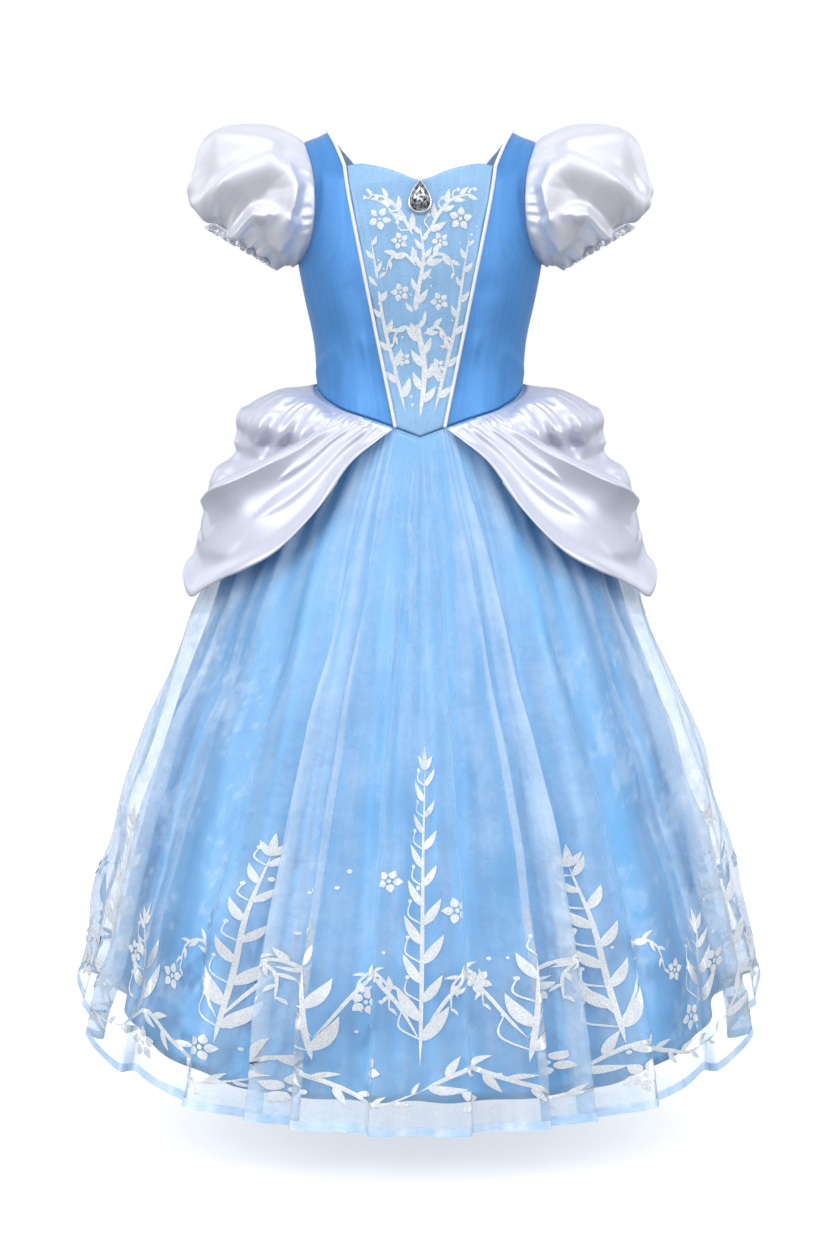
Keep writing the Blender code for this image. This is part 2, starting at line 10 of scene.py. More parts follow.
import bpy
import numpy as np
from bpy.props import FloatProperty, FloatVectorProperty, IntProperty, PointerProperty
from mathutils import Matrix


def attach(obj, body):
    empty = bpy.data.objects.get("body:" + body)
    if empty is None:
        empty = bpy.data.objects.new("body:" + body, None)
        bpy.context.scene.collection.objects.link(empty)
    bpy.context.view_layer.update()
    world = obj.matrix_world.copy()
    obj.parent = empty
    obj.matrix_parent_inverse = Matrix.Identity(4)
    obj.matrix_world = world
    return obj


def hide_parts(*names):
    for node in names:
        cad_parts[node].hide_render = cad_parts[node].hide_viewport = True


bl_info = {
    "name": "Princess costume dress",
    "version": (1, 0, 0),
    "blender": (4, 5, 0),
    "location": "3D View > Sidebar > Dress",
    "description": "Dresses the packed costume dress in satin, organza, print, jewel and stage",
    "category": "Object",
}

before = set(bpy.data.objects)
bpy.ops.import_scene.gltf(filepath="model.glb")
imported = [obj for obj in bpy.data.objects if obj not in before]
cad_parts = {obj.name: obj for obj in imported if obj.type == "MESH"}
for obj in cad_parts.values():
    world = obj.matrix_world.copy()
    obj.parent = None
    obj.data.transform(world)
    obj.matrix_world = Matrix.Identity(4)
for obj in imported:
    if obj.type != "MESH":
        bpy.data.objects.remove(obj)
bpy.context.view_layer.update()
SIDES = ((1, "left"), (-1, "right"))

GAP = 0.0003  # clear space between pieces that are sewn together
BODICE_WALL = 0.0016
SHOULDER_INNER = 0.0843  # from the centre line to the neck end of the shoulder seam
SHOULDER_SLOPE = 0.45
SHOULDER_ROUND_FROM = -0.050  # the torso closes over the shoulders above this height
WAIST_GAP = 0.0006
WAIST_STACK = 0.0028

# Torso sections: half width and depths of the inside of the bodice at each height
Torso = namedtuple("Torso", "height half_width front back")
TORSO = (
    Torso(-0.300, 0.0965, 0.0810, 0.0720),
    Torso(-0.270, 0.0955, 0.0790, 0.0715),
    Torso(-0.232, 0.0945, 0.0740, 0.0700),
    Torso(-0.190, 0.0975, 0.0755, 0.0705),
    Torso(-0.150, 0.1060, 0.0805, 0.0735),
    Torso(-0.120, 0.1115, 0.0830, 0.0760),
    Torso(-0.080, 0.1150, 0.0820, 0.0770),
    Torso(-0.045, 0.1170, 0.0790, 0.0740),
    Torso(0.000, 0.1180, 0.0720, 0.0700),
)

# The seam between the centre panel and the side front, and the neck edge above it
Seam = namedtuple("Seam", "height half_width")
FRONT_SEAM = (
    Seam(-0.2800, 0.0195),
    Seam(-0.2705, 0.0218),
    Seam(-0.0645, 0.0626),
    Seam(-0.0351, 0.0673),
    Seam(-0.0160, 0.0760),
    Seam(0.0000, 0.0843),
)
BACK_NECK = (
    Seam(-0.0620, 0.00015),
    Seam(-0.0600, 0.0220),
    Seam(-0.0530, 0.0380),
    Seam(-0.0300, 0.0590),
    Seam(-0.0160, 0.0725),
    Seam(-0.0075, 0.0785),
    Seam(0.0000, 0.0843),
)

# Sweetheart neckline, by distance from the centre line
Neckline = namedtuple("Neckline", "across height")
NECKLINE = (
    Neckline(0.0000, -0.0480),
    Neckline(0.0080, -0.0460),
    Neckline(0.0220, -0.0410),
    Neckline(0.0390, -0.0365),
    Neckline(0.0560, -0.0338),
    Neckline(0.0680, -0.0352),
)

# Armhole edge: angle from the front (or from the back) at each height
Armhole = namedtuple("Armhole", "height angle")
ARMHOLE = (
    Armhole(-0.1198, 90.0),
    Armhole(-0.1185, 80.0),
    Armhole(-0.1150, 72.0),
    Armhole(-0.1080, 65.0),
    Armhole(-0.0960, 59.0),
    Armhole(-0.0800, 55.5),
    Armhole(-0.0550, 54.0),
    Armhole(-0.0300, 56.5),
    Armhole(-0.0160, 60.0),
    Armhole(-0.0075, 62.0),
    Armhole(-0.0028, 63.4),
    Armhole(-0.0006, 64.2),
    Armhole(0.0000, 64.6),
)

# Waist seam and overskirt hem, by angle from the centre front
Round = namedtuple("Round", "angle waist hem")
ROUND = (
    Round(0, -0.2786, -0.8765),
    Round(13, -0.2705, -0.8760),
    Round(33, -0.2600, -0.8720),
    Round(46, -0.2545, -0.8610),
    Round(60, -0.2470, -0.8430),
    Round(78, -0.2370, -0.8060),
    Round(90, -0.2318, -0.7840),
    Round(105, -0.2308, -0.8060),
    Round(120, -0.2308, -0.8430),
    Round(150, -0.2312, -0.8680),
    Round(180, -0.2318, -0.8725),
)

# How far the skirt's outline stands out from the waist, by the share of the way down
Spread = namedtuple("Spread", "down side front back")
SPREAD = (
    Spread(0.00, 0.000, 0.000, 0.000),
    Spread(0.10, 0.044, 0.026, 0.040),
    Spread(0.20, 0.078, 0.052, 0.070),
    Spread(0.30, 0.102, 0.075, 0.092),
    Spread(0.38, 0.120, 0.091, 0.108),
    Spread(0.52, 0.156, 0.118, 0.134),
    Spread(0.66, 0.183, 0.140, 0.157),
    Spread(0.80, 0.2045, 0.160, 0.179),
    Spread(1.00, 0.229, 0.186, 0.205),
)

# Large folds of the overskirt on each side: the angle of the folded edge at the waist and the
# hem, the width of cloth in it, how far it laps over (1 or more doubles back), how deep it falls
# and how far down it starts. A fold whose way is +1 laps over towards the side seam.
Fold = namedtuple("Fold", "waist_angle hem_angle width lap depth start way")
OVERSKIRT_FOLDS = (
    Fold(4, 8, 3.0, 0.9, 0.009, 0.02, 1),
    Fold(13, 20, 3.2, 1.7, 0.017, 0.03, 1),
    Fold(19, 28, 3.6, 2.1, 0.021, 0.05, 1),
    Fold(31, 41, 3.6, 0.8, 0.010, 0.10, 1),
    Fold(46, 56, 3.8, 1.0, 0.015, 0.20, -1),
    Fold(60, 68, 3.6, 1.9, 0.019, 0.15, 1),
    Fold(72, 78, 3.4, 0.6, 0.009, 0.20, 1),
    Fold(97, 100, 4.0, 0.6, 0.009, 0.20, -1),
    Fold(113, 111, 4.0, 1.0, 0.014, 0.16, -1),
    Fold(128, 124, 4.2, 1.8, 0.019, 0.12, 1),
    Fold(146, 142, 4.0, 1.0, 0.013, 0.10, -1),
    Fold(162, 159, 4.2, 1.7, 0.017, 0.08, -1),
    Fold(174, 173, 3.0, 0.8, 0.008, 0.06, -1),
)


# A fold along a line of points, with its height and its widths on the line's right and left
Line = namedtuple("Line", "points height sharp soft")

# Drag lines of the side front, as lines of (across, height)
DRAG_FOLDS = (
    Line(((0.150, -0.225), (0.105, -0.205), (0.080, -0.196)), 0.0012, 0.004, 0.010),
    Line(((0.040, -0.268), (0.046, -0.225), (0.055, -0.180)), 0.0010, 0.004, 0.012),
)

# Crumples of the overskirt's front, as lines of (across, down) on the flat cloth
CRUMPLES = (
    Line(((-0.022, 0.030), (-0.026, 0.080), (-0.004, 0.112), (-0.016, 0.150), (0.008, 0.205)),
         0.0060, 0.0030, 0.0110),
    Line(((0.004, 0.190), (0.022, 0.250), (0.016, 0.320), (0.034, 0.400)), 0.0055, 0.0030, 0.0120),
    Line(((0.030, 0.040), (0.024, 0.090), (0.036, 0.140), (0.028, 0.200)), 0.0050, 0.0030, 0.0100),
    Line(((-0.050, 0.110), (-0.040, 0.190), (-0.052, 0.270), (-0.040, 0.350)), 0.0050, 0.0030, 0.0110),
    Line(((-0.018, 0.240), (-0.008, 0.320), (-0.022, 0.400), (-0.010, 0.480)), 0.0045, 0.0030, 0.0110),
    Line(((0.064, 0.180), (0.056, 0.260), (0.066, 0.340), (0.058, 0.420)), 0.0045, 0.0030, 0.0100),
)


def column(table, name):
    return np.array([getattr(row, name) for row in table], float)


def curve(at, knots, values):
    """Cubic curve through a table's rows: each step blends its two ends and their slopes."""
    at = np.asarray(at, float)
    slopes = np.gradient(values, knots)
    i = np.clip(np.searchsorted(knots, at, side="right") - 1, 0, len(knots) - 2)
    step = knots[i + 1] - knots[i]
    t = np.clip((at - knots[i]) / step, 0, 1)
    start = (2 * t**3 - 3 * t**2 + 1) * values[i]
    start += (t**3 - 2 * t**2 + t) * step * slopes[i]
    end = (3 * t**2 - 2 * t**3) * values[i + 1]
    end += (t**3 - t**2) * step * slopes[i + 1]
    return start + end


def read(table, key, name, at):
    return curve(at, column(table, key), column(table, name))


def straight(table, key, name, at):
    return np.interp(at, column(table, key), column(table, name))


def smooth_step(t):
    """0 below 0, 1 above 1, and 3t^2 - 2t^3 between."""
    t = np.clip(t, 0, 1)
    return t * t * (3 - 2 * t)


def ripples(x, y, seed, longest, shortest, count=9):
    """Soft irregular waves of height about 1: a sum of sines along seeded directions."""
    rng = np.random.default_rng(seed)
    total = 0.0
    for _ in range(count):
        length = longest * (shortest / longest) ** rng.random()
        way, phase = rng.uniform(0, 2 * np.pi, 2)
        along = x * np.cos(way) + y * np.sin(way)
        total = total + np.sin(2 * np.pi * along / length + phase)
    return total / math.sqrt(count / 2)


def crease(x, y, line, height, sharp, soft):
    """Height of a fold along a line of points. It falls off as exp(-(distance / width)^2), over
    the width soft on the line's left and sharp on its right, and fades out at the line's ends."""
    line = np.asarray(line, float)
    lengths = np.linalg.norm(np.diff(line, axis=0), axis=1)
    before = np.concatenate([[0], np.cumsum(lengths)])
    nearest = np.full(np.shape(x), 1e9)
    side = np.zeros(np.shape(x))
    share = np.zeros(np.shape(x))
    for i, (a, b) in enumerate(zip(line[:-1], line[1:])):
        way = b - a
        t = np.clip(((x - a[0]) * way[0] + (y - a[1]) * way[1]) / (way @ way), 0, 1)
        away_x, away_y = x - a[0] - t * way[0], y - a[1] - t * way[1]
        distance = np.hypot(away_x, away_y)
        closer = distance < nearest
        nearest = np.where(closer, distance, nearest)
        side = np.where(closer, way[0] * away_y - way[1] * away_x, side)
        share = np.where(closer, (before[i] + t * lengths[i]) / before[-1], share)
    width = np.where(side > 0, soft, sharp)
    fade = smooth_step(share / 0.2) * smooth_step((1 - share) / 0.2)
    return height * fade * np.exp(-((nearest / width) ** 2))


def torso_axes(height):
    """Half width, front depth and back depth of the torso, rounded over at the shoulders."""
    above = np.clip((height - SHOULDER_ROUND_FROM) / -SHOULDER_ROUND_FROM, 0, 1)
    closing = np.sqrt(1 - above**2)
    return (
        read(TORSO, "height", "half_width", height),
        read(TORSO, "height", "front", height) * closing,
        read(TORSO, "height", "back", height) * closing,
    )


def torso_skin(angle, height):
    """Point of the inside of the bodice: an ellipse at each height, lowered along the shoulders."""
    turn = np.radians(angle)
    half_width, front, back = torso_axes(height)
    x = half_width * np.sin(turn)
    y = -np.where(np.cos(turn) > 0, front, back) * np.cos(turn)
    above = np.clip((height - SHOULDER_ROUND_FROM) / -SHOULDER_ROUND_FROM, 0, 1)
    drop = SHOULDER_SLOPE * (np.abs(x) - SHOULDER_INNER) * above**2
    return np.stack([x, y, height - drop], -1)


def torso(angle, height, lift):
    """Point of the torso, moved out along its normal."""
    angle, height, lift = np.broadcast_arrays(
        np.asarray(angle, float), np.asarray(height, float), np.asarray(lift, float)
    )
    small_turn, small_rise = 0.2, 0.0004
    along = torso_skin(angle + small_turn, height) - torso_skin(angle - small_turn, height)
    up = torso_skin(angle, height) - torso_skin(angle, height - small_rise)
    normal = np.cross(along, up)
    normal /= np.linalg.norm(normal, axis=-1, keepdims=True)
    return torso_skin(angle, height) + normal * lift[..., None]


def angle_at(across, height):
    """Angle from the centre at which the torso is that far across."""
    half_width = read(TORSO, "height", "half_width", height)
    return np.degrees(np.arcsin(np.clip(across / half_width, -1, 1)))


def folded_angle(angle):
    """Angle from the centre front, 0 to 180, whichever side it is on."""
    return 180 - np.abs((np.asarray(angle, float) % 360) - 180)


def waist_at(angle):
    return read(ROUND, "angle", "waist", folded_angle(angle))


def hem_at(angle):
    return read(ROUND, "angle", "hem", folded_angle(angle))


def skirt(angle, down, lift):
    """Point of the skirt's outline: the waist seam widened by SPREAD, moved out level by lift."""
    angle, down, lift = np.broadcast_arrays(
        np.asarray(angle, float), np.asarray(down, float), np.asarray(lift, float)
    )
    turn = np.radians(angle)
    top = waist_at(angle)
    half_width, front, back = torso_axes(top)
    half_width = half_width + WAIST_STACK + read(SPREAD, "down", "side", down)
    front = front + WAIST_STACK + read(SPREAD, "down", "front", down)
    back = back + WAIST_STACK + read(SPREAD, "down", "back", down)
    depth = np.where(np.cos(turn) > 0, front, back)
    out_x, out_y = np.sin(turn) / half_width, -np.cos(turn) / depth
    size = np.hypot(out_x, out_y)
    x = half_width * np.sin(turn) + out_x / size * lift
    y = -depth * np.cos(turn) + out_y / size * lift
    return np.stack([x, y, top - WAIST_GAP / 2 + (hem_at(angle) - top) * down], -1)


def mirrored(grid, side):
    """The grid as it is for the wearer's left, side +1, or its mirror image, side -1."""
    return grid * np.array([side, 1.0, 1.0])


def surface(
    name, grid, flat, material, closed=False, thickness=0.0, centre=None, weave=None, lining=None
):
    """Piece of cloth through a grid of points, rows by columns. flat gives each point's place on
    the flat cloth, in metres, for the weave, with one column more than grid where it's closed.
    centre is a point inside it, by which its faces are turned outwards, or None for the Z axis.
    lining is the cloth of its inner side."""
    rows, columns = grid.shape[:2]
    index = np.arange(rows * columns).reshape(rows, columns)
    if closed:
        index = np.concatenate([index, index[:, :1]], 1)
    flat_index = np.arange(index.size).reshape(index.shape)

    def quads(of):
        return np.stack([of[:-1, :-1], of[:-1, 1:], of[1:, 1:], of[1:, :-1]], -1).reshape(-1, 4)

    faces, corners = quads(index), quads(flat_index)
    points = grid.reshape(-1, 3)
    middle = points[faces].mean(1)
    inside = np.array([0, 0, 1]) * middle if centre is None else np.asarray(centre)
    normal = np.cross(points[faces[:, 2]] - points[faces[:, 0]], points[faces[:, 3]] - points[faces[:, 1]])
    if ((middle - inside) * normal).sum() < 0:
        faces, corners = faces[:, ::-1], corners[:, ::-1]
    mesh = bpy.data.meshes.new(name)
    mesh.vertices.add(len(points))
    mesh.vertices.foreach_set("co", points.ravel())
    mesh.loops.add(faces.size)
    mesh.loops.foreach_set("vertex_index", faces.ravel().astype(np.int32))
    mesh.polygons.add(len(faces))
    mesh.polygons.foreach_set("loop_start", np.arange(0, faces.size, 4, dtype=np.int32))
    mesh.update(calc_edges=True)
    layer = mesh.uv_layers.new(name="cloth")
    layer.uv.foreach_set("vector", flat.reshape(-1, 2)[corners.ravel()].ravel())
    if weave is not None:
        density = mesh.attributes.new("weave", "FLOAT", "POINT")
        density.data.foreach_set("value", np.broadcast_to(weave, (rows, columns)).ravel())
    mesh.shade_smooth()
    mesh.materials.append(material)
    piece = bpy.data.objects.new(name, mesh)
    bpy.context.scene.collection.objects.link(piece)
    if thickness:
        shell = piece.modifiers.new("thickness", "SOLIDIFY")
        shell.thickness = thickness
        shell.offset = -1
        if lining is not None:
            mesh.materials.append(lining)
            shell.material_offset = 1
    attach(piece, "root")
    return piece


def lay_flat(grid, closed=False):
    """Place of each point on the flat cloth: lengths along the rows and down the columns, each
    averaged over the piece, in metres."""
    ring = np.concatenate([grid, grid[:, :1]], 1) if closed else grid
    along = np.linalg.norm(np.diff(ring, axis=1), axis=2).mean(0)
    down = np.linalg.norm(np.diff(ring, axis=0), axis=2).mean(1)
    u = np.concatenate([[0], np.cumsum(along)])
    v = np.concatenate([[0], np.cumsum(down)])
    return np.stack(np.broadcast_arrays(u[None, :], v[:, None]), -1)


def tube(name, path, radius, material, sides=10, closed=False):
    """Round cord along a path: a circle in the plane across the path at each point, turned so
    that it starts level. radius may differ from point to point."""
    path = np.asarray(path, float)
    ahead = np.roll(path, -1, 0) - np.roll(path, 1, 0) if closed else np.gradient(path, axis=0)
    ahead /= np.linalg.norm(ahead, axis=1, keepdims=True)
    across = np.cross(ahead, np.array([0.0, 0.0, 1.0]))
    across /= np.linalg.norm(across, axis=1, keepdims=True)
    over = np.cross(across, ahead)
    turn = 2 * np.pi * np.arange(sides) / sides
    size = np.broadcast_to(radius, len(path))[:, None, None]
    ring = across[:, None] * np.cos(turn)[None, :, None] + over[:, None] * np.sin(turn)[None, :, None]
    points = path[:, None] + size * ring
    if closed:
        points = np.concatenate([points, points[:1]])
    else:
        tip = np.repeat(path[:1, None], sides, 1), np.repeat(path[-1:, None], sides, 1)
        points = np.concatenate([tip[0], points, tip[1]])
    index = np.arange(points[:, :, 0].size).reshape(points.shape[:2])
    index = np.concatenate([index, index[:, :1]], 1)
    faces = np.stack([index[:-1, :-1], index[:-1, 1:], index[1:, 1:], index[1:, :-1]], -1).reshape(-1, 4)
    mesh = bpy.data.meshes.new(name)
    mesh.from_pydata(points.reshape(-1, 3).tolist(), [], faces[:, ::-1].tolist())
    mesh.materials.append(material)
    mesh.shade_smooth()
    piece = bpy.data.objects.new(name, mesh)
    bpy.context.scene.collection.objects.link(piece)
    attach(piece, "root")
    return piece


def new_material(name):
    material = bpy.data.materials.new(name)
    material.use_nodes = True
    nodes, links = material.node_tree.nodes, material.node_tree.links
    return material, nodes, links, nodes["Principled BSDF"]


def cloth_places(nodes, links, scale):
    """A Mapping node that scales the place on the flat cloth."""
    place = nodes.new("ShaderNodeUVMap")
    place.uv_map = "cloth"
    mapping = nodes.new("ShaderNodeMapping")
    mapping.inputs["Scale"].default_value = scale
    links.new(place.outputs["UV"], mapping.inputs["Vector"])
    return mapping.outputs["Vector"]


def noise(nodes, links, vector, scale, detail=3.0, roughness=0.5):
    texture = nodes.new("ShaderNodeTexNoise")
    texture.inputs["Scale"].default_value = scale
    texture.inputs["Detail"].default_value = detail
    texture.inputs["Roughness"].default_value = roughness
    links.new(vector, texture.inputs["Vector"])
    return texture.outputs["Fac"]


def ramp(nodes, links, value, low, high, dark, light):
    node = nodes.new("ShaderNodeMapRange")
    node.inputs["From Min"].default_value = low
    node.inputs["From Max"].default_value = high
    node.inputs["To Min"].default_value = dark
    node.inputs["To Max"].default_value = light
    links.new(value, node.inputs["Value"])
    return node.outputs["Result"]


def mix_colour(nodes, links, factor, first, second):
    node = nodes.new("ShaderNodeMix")
    node.data_type = "RGBA"
    node.inputs["A"].default_value = (*first, 1.0)
    node.inputs["B"].default_value = (*second, 1.0)
    links.new(factor, node.inputs["Factor"])
    return node.outputs["Result"]


def add_bump(nodes, links, shader, heights):
    """Chain of bump nodes, one for each (height, strength, distance)."""
    last = None
    for height, strength, distance in heights:
        bump = nodes.new("ShaderNodeBump")
        bump.inputs["Strength"].default_value = strength
        bump.inputs["Distance"].default_value = distance
        links.new(height, bump.inputs["Height"])
        if last is not None:
            links.new(last, bump.inputs["Normal"])
        last = bump.outputs["Normal"]
    links.new(last, shader.inputs["Normal"])


def satin(name, colour, shade, roughness, crumple, metallic, glitter=0.0):
    """Woven satin: long soft streaks along the warp, a fine weave, a faint crumple and sheen."""
    material, nodes, links, shader = new_material(name)
    streaks = noise(nodes, links, cloth_places(nodes, links, (260.0, 9.0, 1.0)), 1.0, 3.0, 0.6)
    tint = ramp(nodes, links, streaks, 0.3, 0.75, 0.0, 1.0)
    links.new(mix_colour(nodes, links, tint, shade, colour), shader.inputs["Base Color"])
    weave = nodes.new("ShaderNodeTexWave")
    weave.inputs["Scale"].default_value = 1.0
    weave.inputs["Distortion"].default_value = 0.6
    links.new(cloth_places(nodes, links, (620.0, 620.0, 1.0)), weave.inputs["Vector"])
    where = nodes.new("ShaderNodeTexCoord").outputs["Object"]
    soft = noise(nodes, links, where, 24.0, 2.0)
    heights = [(soft, crumple, 0.010), (streaks, 0.12, 0.0006), (weave.outputs["Fac"], 0.05, 0.0003)]
    if glitter:
        cells = nodes.new("ShaderNodeTexVoronoi")
        cells.inputs["Scale"].default_value = 1500.0
        links.new(where, cells.inputs["Vector"])
        heights.append((cells.outputs["Color"], glitter, 0.0008))
        sparkle = ramp(nodes, links, cells.outputs["Color"], 0.55, 0.9, roughness, 0.12)
        links.new(sparkle, shader.inputs["Roughness"])
    add_bump(nodes, links, shader, heights)
    if not glitter:
        shader.inputs["Roughness"].default_value = roughness
    shader.inputs["Metallic"].default_value = metallic
    shader.inputs["Anisotropic"].default_value = 0.5
    shader.inputs["Sheen Weight"].default_value = 0.12
    shader.inputs["Sheen Roughness"].default_value = 0.4
    return material


def organza(name, colour, opacity, sparkle):
    """Sheer crisp cloth: thread density from the piece, broken by a fine mesh and silver flecks."""
    material, nodes, links, shader = new_material(name)
    where = nodes.new("ShaderNodeTexCoord").outputs["Object"]
    density = nodes.new("ShaderNodeAttribute")
    density.attribute_name = "weave"
    clouds = noise(nodes, links, where, 26.0, 4.0, 0.65)
    patch = ramp(nodes, links, clouds, 0.35, 0.7, 0.86, 1.22)
    see = nodes.new("ShaderNodeMath")
    see.operation = "MULTIPLY"
    links.new(density.outputs["Fac"], see.inputs[0])
    links.new(patch, see.inputs[1])
    alpha = nodes.new("ShaderNodeMath")
    alpha.operation = "MULTIPLY"
    alpha.use_clamp = True
    alpha.inputs[1].default_value = opacity
    links.new(see.outputs[0], alpha.inputs[0])
    links.new(alpha.outputs[0], shader.inputs["Alpha"])
    streaks = noise(nodes, links, cloth_places(nodes, links, (75.0, 4.0, 1.0)), 1.0, 3.0, 0.5)
    tint = ramp(nodes, links, streaks, 0.3, 0.7, 0.0, 1.0)
    links.new(mix_colour(nodes, links, tint, colour, (0.74, 0.86, 1.0)), shader.inputs["Base Color"])
    flecks = nodes.new("ShaderNodeTexVoronoi")
    flecks.inputs["Scale"].default_value = 700.0
    links.new(where, flecks.inputs["Vector"])
    add_bump(
        nodes,
        links,
        shader,
        [
            (noise(nodes, links, where, 55.0, 3.0), 0.5, 0.006),
            (streaks, 0.4, 0.0015),
            (flecks.outputs["Color"], sparkle, 0.0007),
        ],
    )
    shader.inputs["Roughness"].default_value = 0.32
    shader.inputs["Specular IOR Level"].default_value = 0.7
    shader.inputs["Sheen Weight"].default_value = 0.6
    shader.inputs["Sheen Roughness"].default_value = 0.35
    return material


def glitter(name, colour):
    """White glitter print: a crust of tiny facets, each turned its own way."""
    material, nodes, links, shader = new_material(name)
    where = nodes.new("ShaderNodeTexCoord").outputs["Object"]
    cells = nodes.new("ShaderNodeTexVoronoi")
    cells.inputs["Scale"].default_value = 1100.0
    links.new(where, cells.inputs["Vector"])
    tint = ramp(nodes, links, cells.outputs["Color"], 0.2, 0.9, 0.0, 1.0)
    dim = tuple(0.72 * value for value in colour)
    links.new(mix_colour(nodes, links, tint, dim, colour), shader.inputs["Base Color"])
    add_bump(nodes, links, shader, [(cells.outputs["Color"], 0.4, 0.0008)])
    shader.inputs["Roughness"].default_value = 0.28
    shader.inputs["Metallic"].default_value = 0.15
    return material


def cord_cloth(name, colour):
    """Bias-cut cloth round a cord: a slanting rib and a soft surface."""
    material, nodes, links, shader = new_material(name)
    where = nodes.new("ShaderNodeTexCoord").outputs["Object"]
    rib = nodes.new("ShaderNodeTexWave")
    rib.bands_direction = "DIAGONAL"
    rib.inputs["Scale"].default_value = 260.0
    rib.inputs["Distortion"].default_value = 1.0
    links.new(where, rib.inputs["Vector"])
    fuzz = noise(nodes, links, where, 900.0, 2.0)
    tint = ramp(nodes, links, fuzz, 0.3, 0.7, 0.0, 1.0)
    dim = tuple(0.9 * value for value in colour)
    links.new(mix_colour(nodes, links, tint, dim, colour), shader.inputs["Base Color"])
    add_bump(nodes, links, shader, [(rib.outputs["Fac"], 0.25, 0.0004), (fuzz, 0.15, 0.0003)])
    shader.inputs["Roughness"].default_value = 0.6
    return material


class DressCloth(bpy.types.PropertyGroup):
    thickness: FloatProperty(
        name="Satin thickness", description="Wall of each satin shell", default=0.0008, unit="LENGTH"
    )
    bodice_blue: FloatVectorProperty(
        name="Bodice blue", description="Satin of the side fronts and backs",
        default=(0.086, 0.305, 0.68), subtype="COLOR", size=3,
    )
    bodice_shade: FloatVectorProperty(
        name="Bodice shade", description="Darker streaks in the bodice satin",
        default=(0.066, 0.250, 0.60), subtype="COLOR", size=3,
    )
    panel_blue: FloatVectorProperty(
        name="Centre panel blue", description="Glittered satin of the centre front",
        default=(0.300, 0.530, 0.80), subtype="COLOR", size=3,
    )
    underskirt_blue: FloatVectorProperty(
        name="Underskirt blue", description="Satin of the underskirt",
        default=(0.125, 0.450, 0.82), subtype="COLOR", size=3,
    )
    white: FloatVectorProperty(
        name="White", description="Satin of the sleeves and peplum",
        default=(0.80, 0.81, 0.87), subtype="COLOR", size=3,
    )
    # Painted shade: the peplum is the same white satin as the sleeves, given a darker, more lilac colour that
    # stands in for the grey-lilac shade on its folds
    peplum_white_painted_shade: FloatVectorProperty(
        name="Peplum white", description="Satin of the peplum, a shade more lilac than the sleeves",
        default=(0.69, 0.71, 0.81), subtype="COLOR", size=3,
    )
    organza_tint: FloatVectorProperty(
        name="Organza", description="Threads of the sheer overskirt",
        default=(0.46, 0.69, 0.92), subtype="COLOR", size=3,
    )
    organza_opacity: FloatProperty(
        name="Organza opacity", description="How much one layer covers", default=0.27, min=0, max=1
    )


class DressPrint(bpy.types.PropertyGroup):
    lift: FloatProperty(
        name="Print lift", description="Print above the cloth", default=0.00035, unit="LENGTH"
    )
    colour: FloatVectorProperty(
        name="Print", description="White glitter of the print",
        default=(0.90, 0.94, 0.97), subtype="COLOR", size=3,
    )


class DressStage(bpy.types.PropertyGroup):
    distance: FloatProperty(
        name="Camera distance", description="From the camera to its target", default=2.8, unit="LENGTH"
    )
    elevation: FloatProperty(
        name="Camera elevation", description="How far the camera looks down",
        default=math.radians(5), unit="ROTATION",
    )
    target_height: FloatProperty(
        name="Target height", description="Height of the camera's target", default=-0.4615,
        unit="LENGTH",
    )
    frame_height: FloatProperty(
        name="Frame height", description="Height seen at the target", default=1.1844, unit="LENGTH"
    )
    floor_height: FloatProperty(
        name="Floor height", description="Height of the floor below the hem", default=-0.935,
        unit="LENGTH",
    )
    light: FloatProperty(name="Light", description="Strength of every lamp", default=0.42, min=0)


def torso_piece(name, angle, height, lift, materials, side, clear):
    """Shell on the torso, in front of or behind the shoulder line by clear."""
    settings = bpy.context.scene.dress_cloth
    grid = mirrored(torso(angle, height, lift) + np.array([0.0, clear, 0.0]), side)
    outside, lining = materials
    return surface(name, grid, lay_flat(grid), outside, thickness=settings.thickness, lining=lining)


